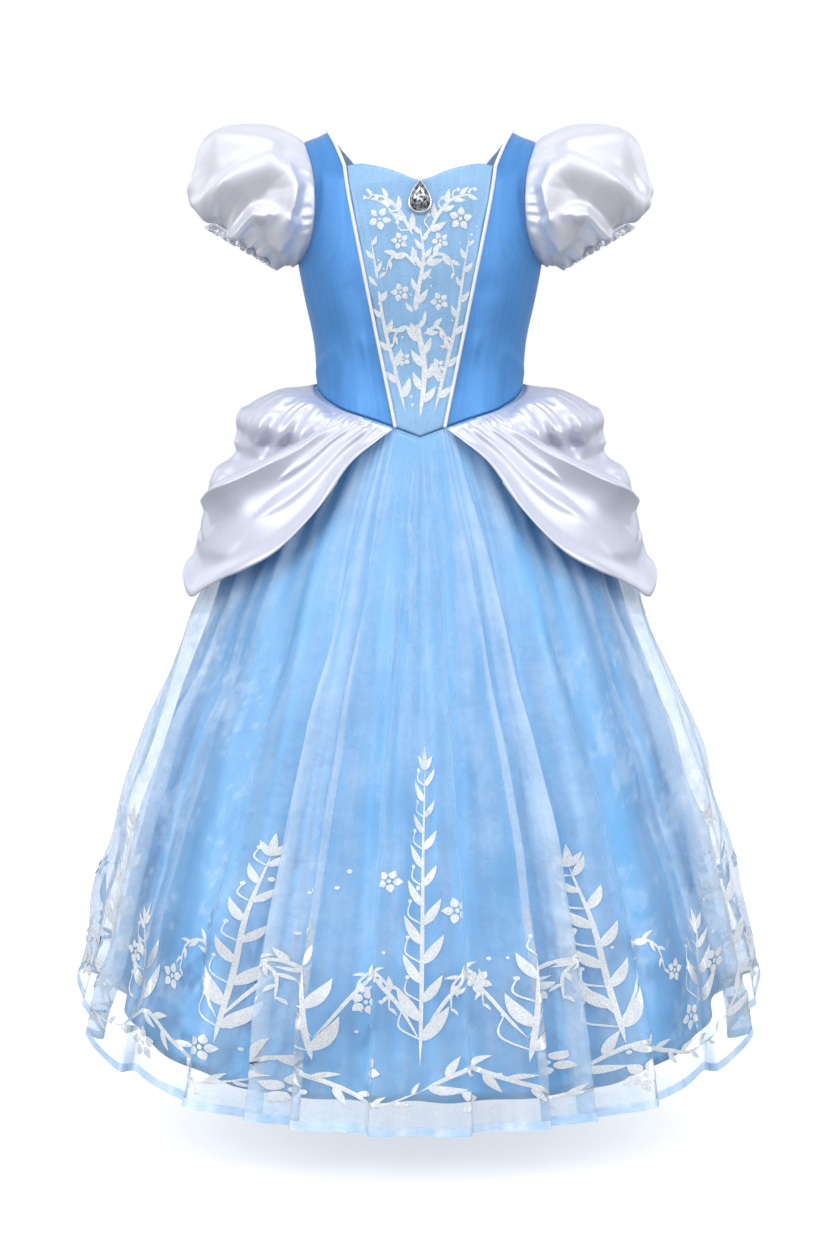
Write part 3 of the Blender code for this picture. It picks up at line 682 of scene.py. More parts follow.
class DRESS_OT_bodice(bpy.types.Operator):
    """Centre panel, side fronts and backs with their straps, and the placket"""

    bl_idname = "dress.bodice"
    bl_label = "Bodice"

    def execute(self, context):
        cloth = context.scene.dress_cloth
        blue = satin("bodice_satin", cloth.bodice_blue, cloth.bodice_shade, 0.40, 0.10, 0.30)
        dim = tuple(0.85 * value for value in cloth.panel_blue)
        light = satin("panel_satin", cloth.panel_blue, dim, 0.48, 0.08, 0.15, glitter=0.35)
        lining = cord_cloth("bodice_lining", (0.42, 0.58, 0.78))
        self.front_panel((light, lining))
        for side, word in SIDES:
            self.side_front("side_front_" + word, side, (blue, lining))
            self.back("back_" + word, side, (blue, lining))
        self.placket((blue, lining))
        return {"FINISHED"}

    def front_panel(self, material):
        """Rows run from the pointed waist to the neckline, columns from seam to seam."""
        across = np.linspace(-1, 1, 49)[None, :]
        up = np.linspace(0, 1, 91)[:, None]
        bottom = waist_at(angle_at(across * 0.0218, -0.2750)) + WAIST_GAP / 2
        top_across = across * straight(FRONT_SEAM, "height", "half_width", -0.0352)
        top = read(NECKLINE, "across", "height", np.abs(top_across))
        height = bottom + (top - bottom) * up
        angle = angle_at(across * (straight(FRONT_SEAM, "height", "half_width", height) - GAP), height)
        lift = BODICE_WALL + 0.0003 * ripples(angle * 0.0015, height, 3, 0.10, 0.03)
        piece = torso_piece("front_panel_cloth", angle, height, lift, material, 1, -GAP / 2)
        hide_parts("front_panel")

    def panel_heights(self, bottom, levels, lower_rows):
        share = np.linspace(0, 1, lower_rows + 1)[:-1, None]
        low = bottom + (levels[0] - bottom) * share
        return np.concatenate([low, np.repeat(np.asarray(levels)[:, None], bottom.shape[1], 1)])

    def levels(self):
        """Heights above the underarm, closer together towards the underarm and the shoulder."""
        low = ARMHOLE[0].height
        turn = np.linspace(0, np.pi / 2, 22)
        rounded = SHOULDER_ROUND_FROM * (1 - np.sin(turn))
        rise = low + (SHOULDER_ROUND_FROM - low) * np.linspace(0, 1, 21)[:-1] ** 1.6
        return np.concatenate([rise, rounded])

    def side_front(self, name, side, material):
        """Rows run up from the waist, columns from the front seam to the side seam and armhole."""
        across = np.linspace(0, 1, 49)[None, :]
        seam_angle = float(angle_at(0.0218, -0.2705))
        bottom = waist_at(seam_angle + (90 - seam_angle) * across) + WAIST_GAP / 2
        height = self.panel_heights(bottom, self.levels(), 48)
        start = angle_at(straight(FRONT_SEAM, "height", "half_width", height) + GAP, height)
        end = read(ARMHOLE, "height", "angle", height)
        end = np.where(height <= ARMHOLE[0].height, 90, end)
        angle = start + (end - start) * across
        x = angle * 0.0017
        pucker = 0.0003 * ripples(x * 2.2, height, 11, 0.12, 0.05)
        drag = 0.0
        for line in DRAG_FOLDS:
            drag = drag + crease(x, height, line.points, line.height, line.sharp, line.soft)
        lift = BODICE_WALL + pucker * smooth_step(across / 0.1) * smooth_step((1 - across) / 0.1) + drag
        piece = torso_piece(name + "_cloth", angle, height, lift, material, side, -GAP / 2)
        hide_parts(name)

    def back(self, name, side, material):
        """Rows run up from the waist, columns from the side seam and armhole to the centre back."""
        across = np.linspace(0, 1, 49)[None, :]
        bottom = waist_at(90 + 90 * across) + WAIST_GAP / 2
        height = self.panel_heights(bottom, self.levels(), 48)
        end = 180 - angle_at(straight(BACK_NECK, "height", "half_width", height), height)
        edge = read(ARMHOLE, "height", "angle", height)
        start = 180 - np.where(height <= ARMHOLE[0].height, 90, edge)
        angle = start + (end - start) * across
        pucker = 0.0003 * ripples(angle * 0.0035, height, 23, 0.12, 0.05)
        lift = BODICE_WALL + pucker * smooth_step(across / 0.1) * smooth_step((1 - across) / 0.12)
        piece = torso_piece(name + "_cloth", angle, height, lift, material, side, GAP / 2)
        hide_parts(name)

    def placket(self, material):
        """A narrow strip up the centre back, over the edges of both backs."""
        across = np.linspace(-1, 1, 15)[None, :]
        up = np.linspace(0, 1, 81)[:, None]
        bottom, top = float(waist_at(180)) + WAIST_GAP / 2, BACK_NECK[0].height - 0.0010
        height = bottom + (top - bottom) * up + 0 * across
        angle = 180 - angle_at(across * 0.012, height)
        lift = BODICE_WALL + GAP + 0.0012 - 0.0006 * smooth_step((np.abs(across) - 0.75) / 0.2)
        lift = lift + 0.0003 * ripples(across * 0.012, height, 5, 0.05, 0.02)
        piece = torso_piece("back_placket_cloth", angle, height, lift, material, 1, GAP / 2)
        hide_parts("back_placket")


class DRESS_OT_piping(bpy.types.Operator):
    """White piping up both front seams and neck edges"""

    bl_idname = "dress.piping"
    bl_label = "Piping"

    def execute(self, context):
        white = cord_cloth("piping_cloth", (0.86, 0.87, 0.90))
        for side, word in SIDES:
            rounded = SHOULDER_ROUND_FROM * (1 - np.sin(np.linspace(0, 0.46 * np.pi, 30)))
            heights = np.concatenate([np.linspace(-0.2705, -0.0520, 90), rounded])
            across = straight(FRONT_SEAM, "height", "half_width", heights)
            lift = BODICE_WALL + 0.0016
            path = mirrored(torso(angle_at(across, heights), heights, lift), side)
            cord = tube("piping_" + word + "_cord", path, 0.0016, white, 12)
            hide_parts("piping_" + word)
        return {"FINISHED"}


class DRESS_OT_underskirt(bpy.types.Operator):
    """Blue satin underskirt in soft uneven flutes"""

    bl_idname = "dress.underskirt"
    bl_label = "Underskirt"

    def execute(self, context):
        cloth = context.scene.dress_cloth
        dim = tuple(0.92 * value for value in cloth.underskirt_blue)
        material = satin("underskirt_satin", cloth.underskirt_blue, dim, 0.40, 0.25, 0.30)
        angle = np.arange(0, 360, 1.0)[None, :]
        down = 0.966 * np.linspace(0, 1, 76)[:, None]
        wander = angle + 3.0 * np.sin(np.radians(2 * angle)) + 2.0 * np.sin(np.radians(5 * angle + 40))
        flute = 0.5 + 0.5 * np.cos(np.radians(24 * wander))
        deep = 0.6 + 0.4 * np.cos(np.radians(3 * angle + 25)) * np.cos(np.radians(7 * angle))
        fall = underskirt_fall(down) + 0.0120 * flute * deep * smooth_step((down - 0.03) / 0.5)
        grid = skirt(angle, down, -fall)
        piece = surface(
            "underskirt_cloth", grid, lay_flat(grid, True), material, closed=True, thickness=cloth.thickness
        )
        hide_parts("underskirt")
        return {"FINISHED"}


def underskirt_fall(down):
    """How far the underskirt's outermost parts hang inside the skirt's outline."""
    fall = 0.0013 + 0.0085 * smooth_step(down / 0.12)
    return fall + 0.0195 * smooth_step((down - 0.05) / 0.65)


def fold_centres():
    """Angles of every fold at the waist and the hem, round the whole skirt, in rising order."""
    hem = column(OVERSKIRT_FOLDS, "hem_angle")
    waist = column(OVERSKIRT_FOLDS, "waist_angle")
    hem = np.concatenate([[-180], -hem[::-1], [0], hem, [180]])
    waist = np.concatenate([[-180], -waist[::-1], [0], waist, [180]])
    return hem, waist


def overskirt(place, down, lift):
    """Point of the overskirt. place is an angle at the hem that follows the folds up to the waist.
    Each fold moves the cloth round by lap * width * p * exp(-p^2), with p the distance from the
    fold's middle in widths, so that it doubles back where lap is over 1, and drops it inwards by
    depth behind the folded edge, from which it returns over the next two widths."""
    place, down, lift = np.broadcast_arrays(
        np.asarray(place, float), np.asarray(down, float), np.asarray(lift, float)
    )
    hem, waist = fold_centres()
    at_waist = np.interp(place, hem, waist)
    angle = at_waist + (place - at_waist) * smooth_step(down) ** 0.5
    fall = np.zeros(place.shape)
    for fold in OVERSKIRT_FOLDS:
        grown = smooth_step((down - fold.start) / 0.45)
        for side in (1, -1):
            p = fold.way * side * (place - side * fold.hem_angle) / fold.width
            shift = -fold.lap * 1.05 * fold.width * p * np.exp(-(p**2)) * grown
            angle = angle + fold.way * side * shift
            behind = smooth_step((p + 0.6) / 1.3) * (1 - smooth_step((p - 0.7) / 2.4))
            fall = fall + fold.depth * behind * grown
            fall = fall - 0.0025 * grown * np.exp(-(((p + 1.1) / 0.6) ** 2))
    gather = 0.5 + 0.5 * np.cos(np.radians(38 * place) + 2.2 * np.sin(np.radians(7 * place)))
    strength = smooth_step(down / 0.09) * (1 - smooth_step((down - 0.08) / 0.50))
    fall = fall + 0.0048 * gather * strength
    wide = 0.5 + 0.5 * np.cos(np.radians(19 * place + 30) + 2.0 * np.sin(np.radians(5 * place)))
    lower = 1 - 0.6 * smooth_step((down - 0.4) / 0.6)
    fall = fall + 0.0070 * wide * smooth_step((down - 0.04) / 0.2) * lower
    fall = fall + 0.0022 * ripples(place * 0.005, down * 0.6, 31, 0.22, 0.06) * smooth_step(down / 0.15)
    for line in CRUMPLES:
        fall = fall - crease(place * 0.004, down * 0.6, line.points, line.height, line.sharp, line.soft)
    room = underskirt_fall(down) - 0.0008
    fall = np.where(fall > 0, fall * room / (np.abs(fall) ** 5 + room**5) ** 0.2, np.maximum(fall, -0.003))
    return skirt(angle, down, lift - fall)


def overskirt_places():
    """Columns for the overskirt's grid, closer together across the folds."""
    fine = np.linspace(-180, 180, 7201)
    near = np.zeros(fine.shape)
    for fold in OVERSKIRT_FOLDS:
        for side in (1, -1):
            near = near + np.exp(-(((fine - side * fold.hem_angle) / (1.3 * fold.width)) ** 2))
    share = np.cumsum(0.7 + 2.5 * np.clip(near, 0, 1))
    return np.interp(np.linspace(share[0], share[-1], 561)[:-1], share, fine)


class DRESS_OT_overskirt(bpy.types.Operator):
    """Sheer organza overskirt with lapped folds, and its narrow hem"""

    bl_idname = "dress.overskirt"
    bl_label = "Overskirt"

    def execute(self, context):
        cloth = context.scene.dress_cloth
        sheer = organza("organza", cloth.organza_tint, cloth.organza_opacity, 0.5)
        place = overskirt_places()[None, :]
        down = np.linspace(0, 1, 101)[:, None]
        grid = overskirt(place, down, 0.0)
        turned = self.turned(grid)
        fuzz = ripples(place * 0.005, down * 0.6, 71, 0.12, 0.010, 30)
        side = smooth_step((np.abs(place) - 34) / 10) * smooth_step((down - 0.30) / 0.1)
        strand = 0.5 + 0.5 * np.tanh(1.6 * ripples(place, 3 * down, 83, 7.0, 1.6, 12))
        # Painted highlight in part: streaky bands 25 degrees either side of the front are made denser and
        # whiter, standing partly for layered gathers and partly for the bright bands that the side strip
        # lamps light there
        band = np.exp(-(((np.abs(place) - 25) / 6) ** 2)) * strand
        thin = np.exp(-(((np.abs(place) - 44) / 7) ** 2))
        density = 0.80 + 1.3 * turned**0.65 + 1.0 * band - 0.30 * thin
        density = density + 0.6 * side * smooth_step((fuzz - 0.45) / 0.9)
        density = density + 1.0 * np.exp(-(((np.abs(place) - 88) / 13) ** 2))
        density = density + 0.5 * smooth_step((down - 0.950) / 0.03)
        piece = surface("overskirt_cloth", grid, self.flat(place, down), sheer, closed=True, weave=density)
        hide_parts("overskirt")
        down = np.linspace(0.9875, 1.0, 5)[:, None]
        grid = overskirt(place, down, 0.0004)
        hem_cloth = organza("organza_hem", (0.42, 0.66, 0.95), 0.95, 0.2)
        flat = self.flat(place, down)
        hem = surface("overskirt_hem", grid, flat, hem_cloth, closed=True, weave=1.0 + 0 * down)
        return {"FINISHED"}

    def flat(self, place, down):
        """Place on the flat cloth, with the first column again at the end."""
        ring = np.concatenate([place, place[:, :1] + 360], 1)
        return np.stack(np.broadcast_arrays(np.radians(ring) * 0.36, down * 0.61), -1)

    def turned(self, grid):
        """How far each point's cloth is turned away from facing straight out, 0 to 1."""
        along = np.roll(grid, -1, 1) - np.roll(grid, 1, 1)
        normal = np.cross(along, np.gradient(grid, axis=0))
        normal /= np.linalg.norm(normal, axis=-1, keepdims=True)
        out = grid * np.array([1, 1, 0])
        out /= np.linalg.norm(out, axis=-1, keepdims=True)
        return 1 - np.abs((normal * out).sum(-1))


# Sleeve: where the cuff ring lies, and the curve of the puff, by share from underarm to top
CUFF_CENTRE = np.array([0.1640, 0.0, -0.0965])
CUFF_LONG = np.array([0.8615, 0.0, 0.5077])  # from the underarm end to the outer end
CUFF_OUT = np.array([0.5077, 0.0, -0.8615])  # the way the arm leaves
CUFF_HALF_LENGTH = 0.0330
CUFF_HALF_WIDTH = 0.0370
Bulge = namedtuple("Bulge", "up start_out start_along end_out end_back")
BULGE = (
    Bulge(0.00, 0.0020, 0.0080, 0.0220, -0.0020),
    Bulge(0.25, 0.0120, 0.0220, 0.0300, 0.0100),
    Bulge(0.50, 0.0170, 0.0340, 0.0360, 0.0260),
    Bulge(0.75, 0.0280, 0.0360, 0.0660, 0.0460),
    Bulge(1.00, 0.0320, 0.0380, 0.0960, 0.0600),
)

# Folds of the sleeve's front, as lines of (across, height)
SLEEVE_FOLDS = (
    Line(((0.206, -0.066), (0.184, -0.052), (0.160, -0.039), (0.138, -0.032), (0.123, -0.037),
          (0.116, -0.052), (0.119, -0.070), (0.128, -0.089), (0.136, -0.106)), 0.0130, 0.0065, 0.0190),
    Line(((0.186, -0.100), (0.164, -0.086), (0.149, -0.073), (0.138, -0.074), (0.130, -0.082)),
         0.0095, 0.0050, 0.0100),
    Line(((0.206, -0.032), (0.200, -0.050), (0.190, -0.070), (0.186, -0.094)), 0.0090, 0.0060, 0.0090),
    Line(((0.200, -0.010), (0.176, -0.006), (0.148, -0.012), (0.122, -0.020)), 0.0050, 0.0060, 0.0140),
    Line(((0.112, -0.078), (0.121, -0.096), (0.131, -0.110)), 0.0070, 0.0050, 0.0100),
)


def armhole_loop(columns):
    """Armhole edge from the shoulder seam down the front, under the arm and up the back."""
    heights = column(ARMHOLE, "height")[::-1]
    angles = column(ARMHOLE, "angle")[::-1]
    heights = np.concatenate([heights, heights[-2::-1]])
    angles = np.concatenate([angles, 180 - angles[-2::-1]])
    loop = torso(angles, heights, BODICE_WALL + GAP)
    length = np.concatenate([[0], np.cumsum(np.linalg.norm(np.diff(loop, axis=0), axis=1))])
    half = len(heights) // 2
    share = np.where(
        np.arange(len(length)) <= half,
        length / length[half] / 2,
        0.5 + (length - length[half]) / (length[-1] - length[half]) / 2,
    )
    at = np.arange(columns) / columns
    return np.stack([curve(at, share, loop[:, i]) for i in range(3)], -1)


def cuff_ring(columns, out, along):
    """Oval ring of the cuff, widened by out and moved the way the arm leaves by along."""
    turn = 2 * np.pi * np.arange(columns) / columns
    length = (CUFF_HALF_LENGTH + out) * np.cos(turn)
    width = (CUFF_HALF_WIDTH + out) * np.sin(turn)
    ring = CUFF_CENTRE + length[:, None] * CUFF_LONG
    return ring - width[:, None] * np.array([0, 1, 0]) + np.asarray(along)[..., None] * CUFF_OUT


def ring_normals(grid):
    """Unit normals of a grid that is closed along its columns, turned away from its middle."""
    along = np.roll(grid, -1, 1) - np.roll(grid, 1, 1)
    normal = np.cross(along, np.gradient(grid, axis=0))
    normal /= np.maximum(np.linalg.norm(normal, axis=-1, keepdims=True), 1e-9)
    outward = ((grid - grid.mean((0, 1))) * normal).sum()
    return normal if outward > 0 else -normal


class DRESS_OT_sleeves(bpy.types.Operator):
    """White satin puff sleeves and their shirred elastic cuffs"""

    bl_idname = "dress.sleeves"
    bl_label = "Sleeves"

    def execute(self, context):
        cloth = context.scene.dress_cloth
        dim = tuple(0.94 * value for value in cloth.white)
        self.white = satin("white_satin", cloth.white, dim, 0.38, 0.05, 0.38)
        for side, word in SIDES:
            self.sleeve("sleeve_" + word, side)
            self.cuff("cuff_" + word, side)
        return {"FINISHED"}

    def sleeve(self, name, side):
        """Each column is a cubic curve from its point of the armhole, out and round to its point
        of the cuff ring. Gathers of uneven width stand at both ends, and folds cross the puff."""
        columns, rows = 240, 84
        turn = 2 * np.pi * np.arange(columns) / columns
        up = (1 + np.cos(turn)) / 2
        first, last = armhole_loop(columns), cuff_ring(columns, 0.0, 0.0)
        hole_out = np.stack([0 * turn, -np.sin(turn), np.cos(turn)], -1)
        cuff_out = np.cos(turn)[:, None] * CUFF_LONG - np.sin(turn)[:, None] * np.array([0, 1, 0])
        amount = {key: read(BULGE, "up", key, up)[:, None] for key in BULGE[0]._fields[1:]}
        second = first + hole_out * amount["start_out"]
        second = second + np.array([1.0, 0.0, 0.0]) * amount["start_along"]
        third = last + cuff_out * amount["end_out"] - CUFF_OUT * amount["end_back"]
        t = np.linspace(0, 1, rows)[:, None, None]
        grid = (1 - t) ** 3 * first + 3 * (1 - t) ** 2 * t * second
        grid = grid + 3 * (1 - t) * t**2 * third + t**3 * last
        normal = ring_normals(grid)
        t = t[..., 0]
        uneven = turn + 0.10 * np.sin(3 * turn + 1) + 0.06 * np.sin(7 * turn + side)
        head = np.cos(26 * uneven) * np.exp(-((t / 0.14) ** 2)) * np.sqrt(np.sin(np.pi * t))
        foot = np.cos(34 * uneven + 1) * np.exp(-(((1 - t) / 0.20) ** 2)) * np.sqrt(np.sin(np.pi * t))
        full = np.clip(up * 1.6, 0.25, 1)
        lift = (0.0018 * head + 0.0020 * foot) * full
        lift = lift + 0.0009 * ripples(uneven * 0.045, t * 0.16, 41, 0.12, 0.05) * np.sin(np.pi * t)
        x, z = grid[..., 0], grid[..., 2]
        front = smooth_step((-grid[..., 1] - 0.004) / 0.022)
        back = smooth_step((grid[..., 1] - 0.004) / 0.022)
        for line in SLEEVE_FOLDS:
            lift = lift + front * crease(x, z, line.points, line.height, line.sharp, line.soft)
            lift = lift + back * crease(x, z - 0.012, line.points, 0.8 * line.height, line.soft, line.sharp)
        droop = np.exp(-(((t - 0.87) / 0.10) ** 2)) * smooth_step((1 - t) / 0.05)
        droop = droop * (0.0085 + 0.0022 * np.cos(13 * uneven + 2))
        grid = grid + droop[..., None] * CUFF_OUT
        lift = lift * smooth_step(t / 0.05) * smooth_step((1 - t) / 0.04)
        grid = mirrored(grid + normal * lift[..., None], side)
        piece = surface(
            name + "_cloth", grid, lay_flat(grid, True), self.white, closed=True,
            thickness=bpy.context.scene.dress_cloth.thickness, centre=grid.mean((0, 1)),
        )
        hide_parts(name)

    def cuff(self, name, side):
        """A tight band of shirring, then a short frill whose edge waves in and out."""
        columns, rows = 360, 13
        turn = 2 * np.pi * np.arange(columns) / columns
        down = np.linspace(0, 1, rows)[:, None]
        uneven = turn + 0.05 * np.sin(5 * turn + 2) + 0.03 * np.sin(11 * turn)
        frill = smooth_step((down - 0.30) / 0.70)
        wave = 0.0020 * frill * np.cos(27 * uneven) + 0.0010 * frill * np.cos(61 * uneven + 1)
        shirr = 0.0006 * np.cos(54 * uneven) * (1 - frill)
        pinch = -0.0012 * np.exp(-(((down - 0.28) / 0.12) ** 2))
        out = 0.0010 * frill + wave + shirr + pinch
        along = 0.0004 + 0.0090 * down + 0.0008 * frill * np.sin(23 * uneven)
        grid = np.stack([cuff_ring(columns, out[i], along[i]) for i in range(rows)])
        grid = mirrored(grid, side)
        piece = surface(
            name + "_cloth", grid, lay_flat(grid, True), self.white, closed=True,
            thickness=0.0004, centre=grid.mean((0, 1)),
        )
        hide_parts(name)


# Peplum on each side: its lower edge (share of the skirt's height), where the swag's ridge runs
# and how far it stands out there, and how far the hip puffs out
Peplum = namedtuple("Peplum", "angle edge ridge_at ridge puff")
PEPLUM = (
    Peplum(14.5, 0.012, 0.00, 0.000, 0.000),
    Peplum(20.0, 0.026, 0.02, 0.001, 0.001),
    Peplum(26.8, 0.060, 0.04, 0.003, 0.002),
    Peplum(33.2, 0.135, 0.08, 0.006, 0.004),
    Peplum(43.0, 0.202, 0.20, 0.011, 0.010),
    Peplum(52.5, 0.243, 0.36, 0.016, 0.019),
    Peplum(60.0, 0.268, 0.45, 0.018, 0.026),
    Peplum(66.0, 0.290, 0.51, 0.018, 0.033),
    Peplum(73.0, 0.322, 0.60, 0.014, 0.037),
    Peplum(82.0, 0.306, 0.76, 0.010, 0.039),
    Peplum(95.0, 0.282, 0.85, 0.003, 0.039),
    Peplum(120.0, 0.262, 0.90, 0.000, 0.037),
    Peplum(150.0, 0.270, 0.90, 0.000, 0.036),
    Peplum(179.8, 0.250, 0.90, 0.000, 0.030),
)
Puff = namedtuple("Puff", "share out")
PUFF = (
    Puff(0.00, 0.00),
    Puff(0.04, 0.60),
    Puff(0.10, 0.97),
    Puff(0.18, 1.00),
    Puff(0.27, 0.72),
    Puff(0.37, 0.50),
    Puff(0.52, 0.58),
    Puff(0.70, 0.34),
    Puff(0.86, 0.20),
    Puff(1.00, 0.04),
)
PEPLUM_CLEAR = 0.0015

# Front swag, from the waist to behind the hip: its lower edge and its rolled upper fold, as
# angles and shares of the way down, and how far each stands off the skirt
Swag = namedtuple("Swag", "along low_angle low_down low_lift top_angle top_down top_lift")
SWAG = (
    Swag(0.00, 14.3, 0.002, 0.002, 37.0, 0.002, 0.004),
    Swag(0.08, 19.5, 0.024, 0.005, 38.6, 0.014, 0.010),
    Swag(0.18, 26.8, 0.062, 0.007, 43.0, 0.034, 0.021),
    Swag(0.30, 33.4, 0.134, 0.008, 47.6, 0.062, 0.030),
    Swag(0.42, 42.6, 0.203, 0.009, 53.5, 0.088, 0.038),
    Swag(0.54, 52.5, 0.244, 0.010, 61.0, 0.118, 0.044),
    Swag(0.65, 60.5, 0.270, 0.010, 68.5, 0.144, 0.046),
    Swag(0.75, 67.0, 0.296, 0.010, 77.0, 0.168, 0.037),
    Swag(0.83, 74.0, 0.324, 0.010, 85.0, 0.190, 0.031),
    Swag(0.91, 84.0, 0.306, 0.014, 93.0, 0.206, 0.025),
    Swag(1.00, 98.0, 0.284, 0.002, 101.0, 0.212, 0.008),
)

# Folds along the swag, as lines of (share along, share from the lower edge to the upper fold)
SWAG_FOLDS = (
    Line(((0.00, 0.30), (0.18, 0.34), (0.36, 0.40), (0.54, 0.48)), 0.0028, 0.050, 0.140),
    Line(((0.02, 0.60), (0.16, 0.64), (0.30, 0.70), (0.42, 0.76)), 0.0030, 0.035, 0.100),
    Line(((0.58, 0.20), (0.70, 0.26), (0.80, 0.38), (0.88, 0.56)), 0.0030, 0.050, 0.110),
)

# Folds of the puffed hip behind the swag and of the drape across the back, as lines of
# (across, height)
HIP_FOLDS = (
    Line(((0.086, -0.2400), (0.118, -0.2480), (0.140, -0.2650), (0.149, -0.2880), (0.146, -0.3060)),
         0.0090, 0.0045, 0.0150),
    Line(((0.082, -0.2480), (0.108, -0.2590), (0.124, -0.2760), (0.128, -0.2960)), 0.0080, 0.0040, 0.0110),
    Line(((0.080, -0.2560), (0.096, -0.2660), (0.106, -0.2800), (0.108, -0.2940)), 0.0060, 0.0035, 0.0080),
    Line(((0.158, -0.2500), (0.167, -0.2720), (0.169, -0.2960)), 0.0060, 0.0060, 0.0100),
    Line(((0.174, -0.3000), (0.188, -0.3250), (0.197, -0.3550), (0.200, -0.3900)), 0.0060, 0.0070, 0.0140),
)
BACK_FOLDS = (
    Line(((0.012, -0.2560), (0.050, -0.2760), (0.095, -0.2860), (0.140, -0.2760), (0.172, -0.2560)),
         0.0060, 0.0040, 0.0120),
    Line(((0.010, -0.2760), (0.050, -0.3050), (0.100, -0.3180), (0.145, -0.3080), (0.180, -0.2820)),
         0.0070, 0.0050, 0.0150),
    Line(((0.008, -0.3020), (0.050, -0.3360), (0.100, -0.3500), (0.150, -0.3400), (0.190, -0.3120)),
         0.0070, 0.0050, 0.0150),
    Line(((0.006, -0.3300), (0.050, -0.3660), (0.100, -0.3800), (0.150, -0.3720), (0.196, -0.3480)),
         0.0060, 0.0050, 0.0140),
)


def swag_at(along, name):
    return read(SWAG, "along", name, along)


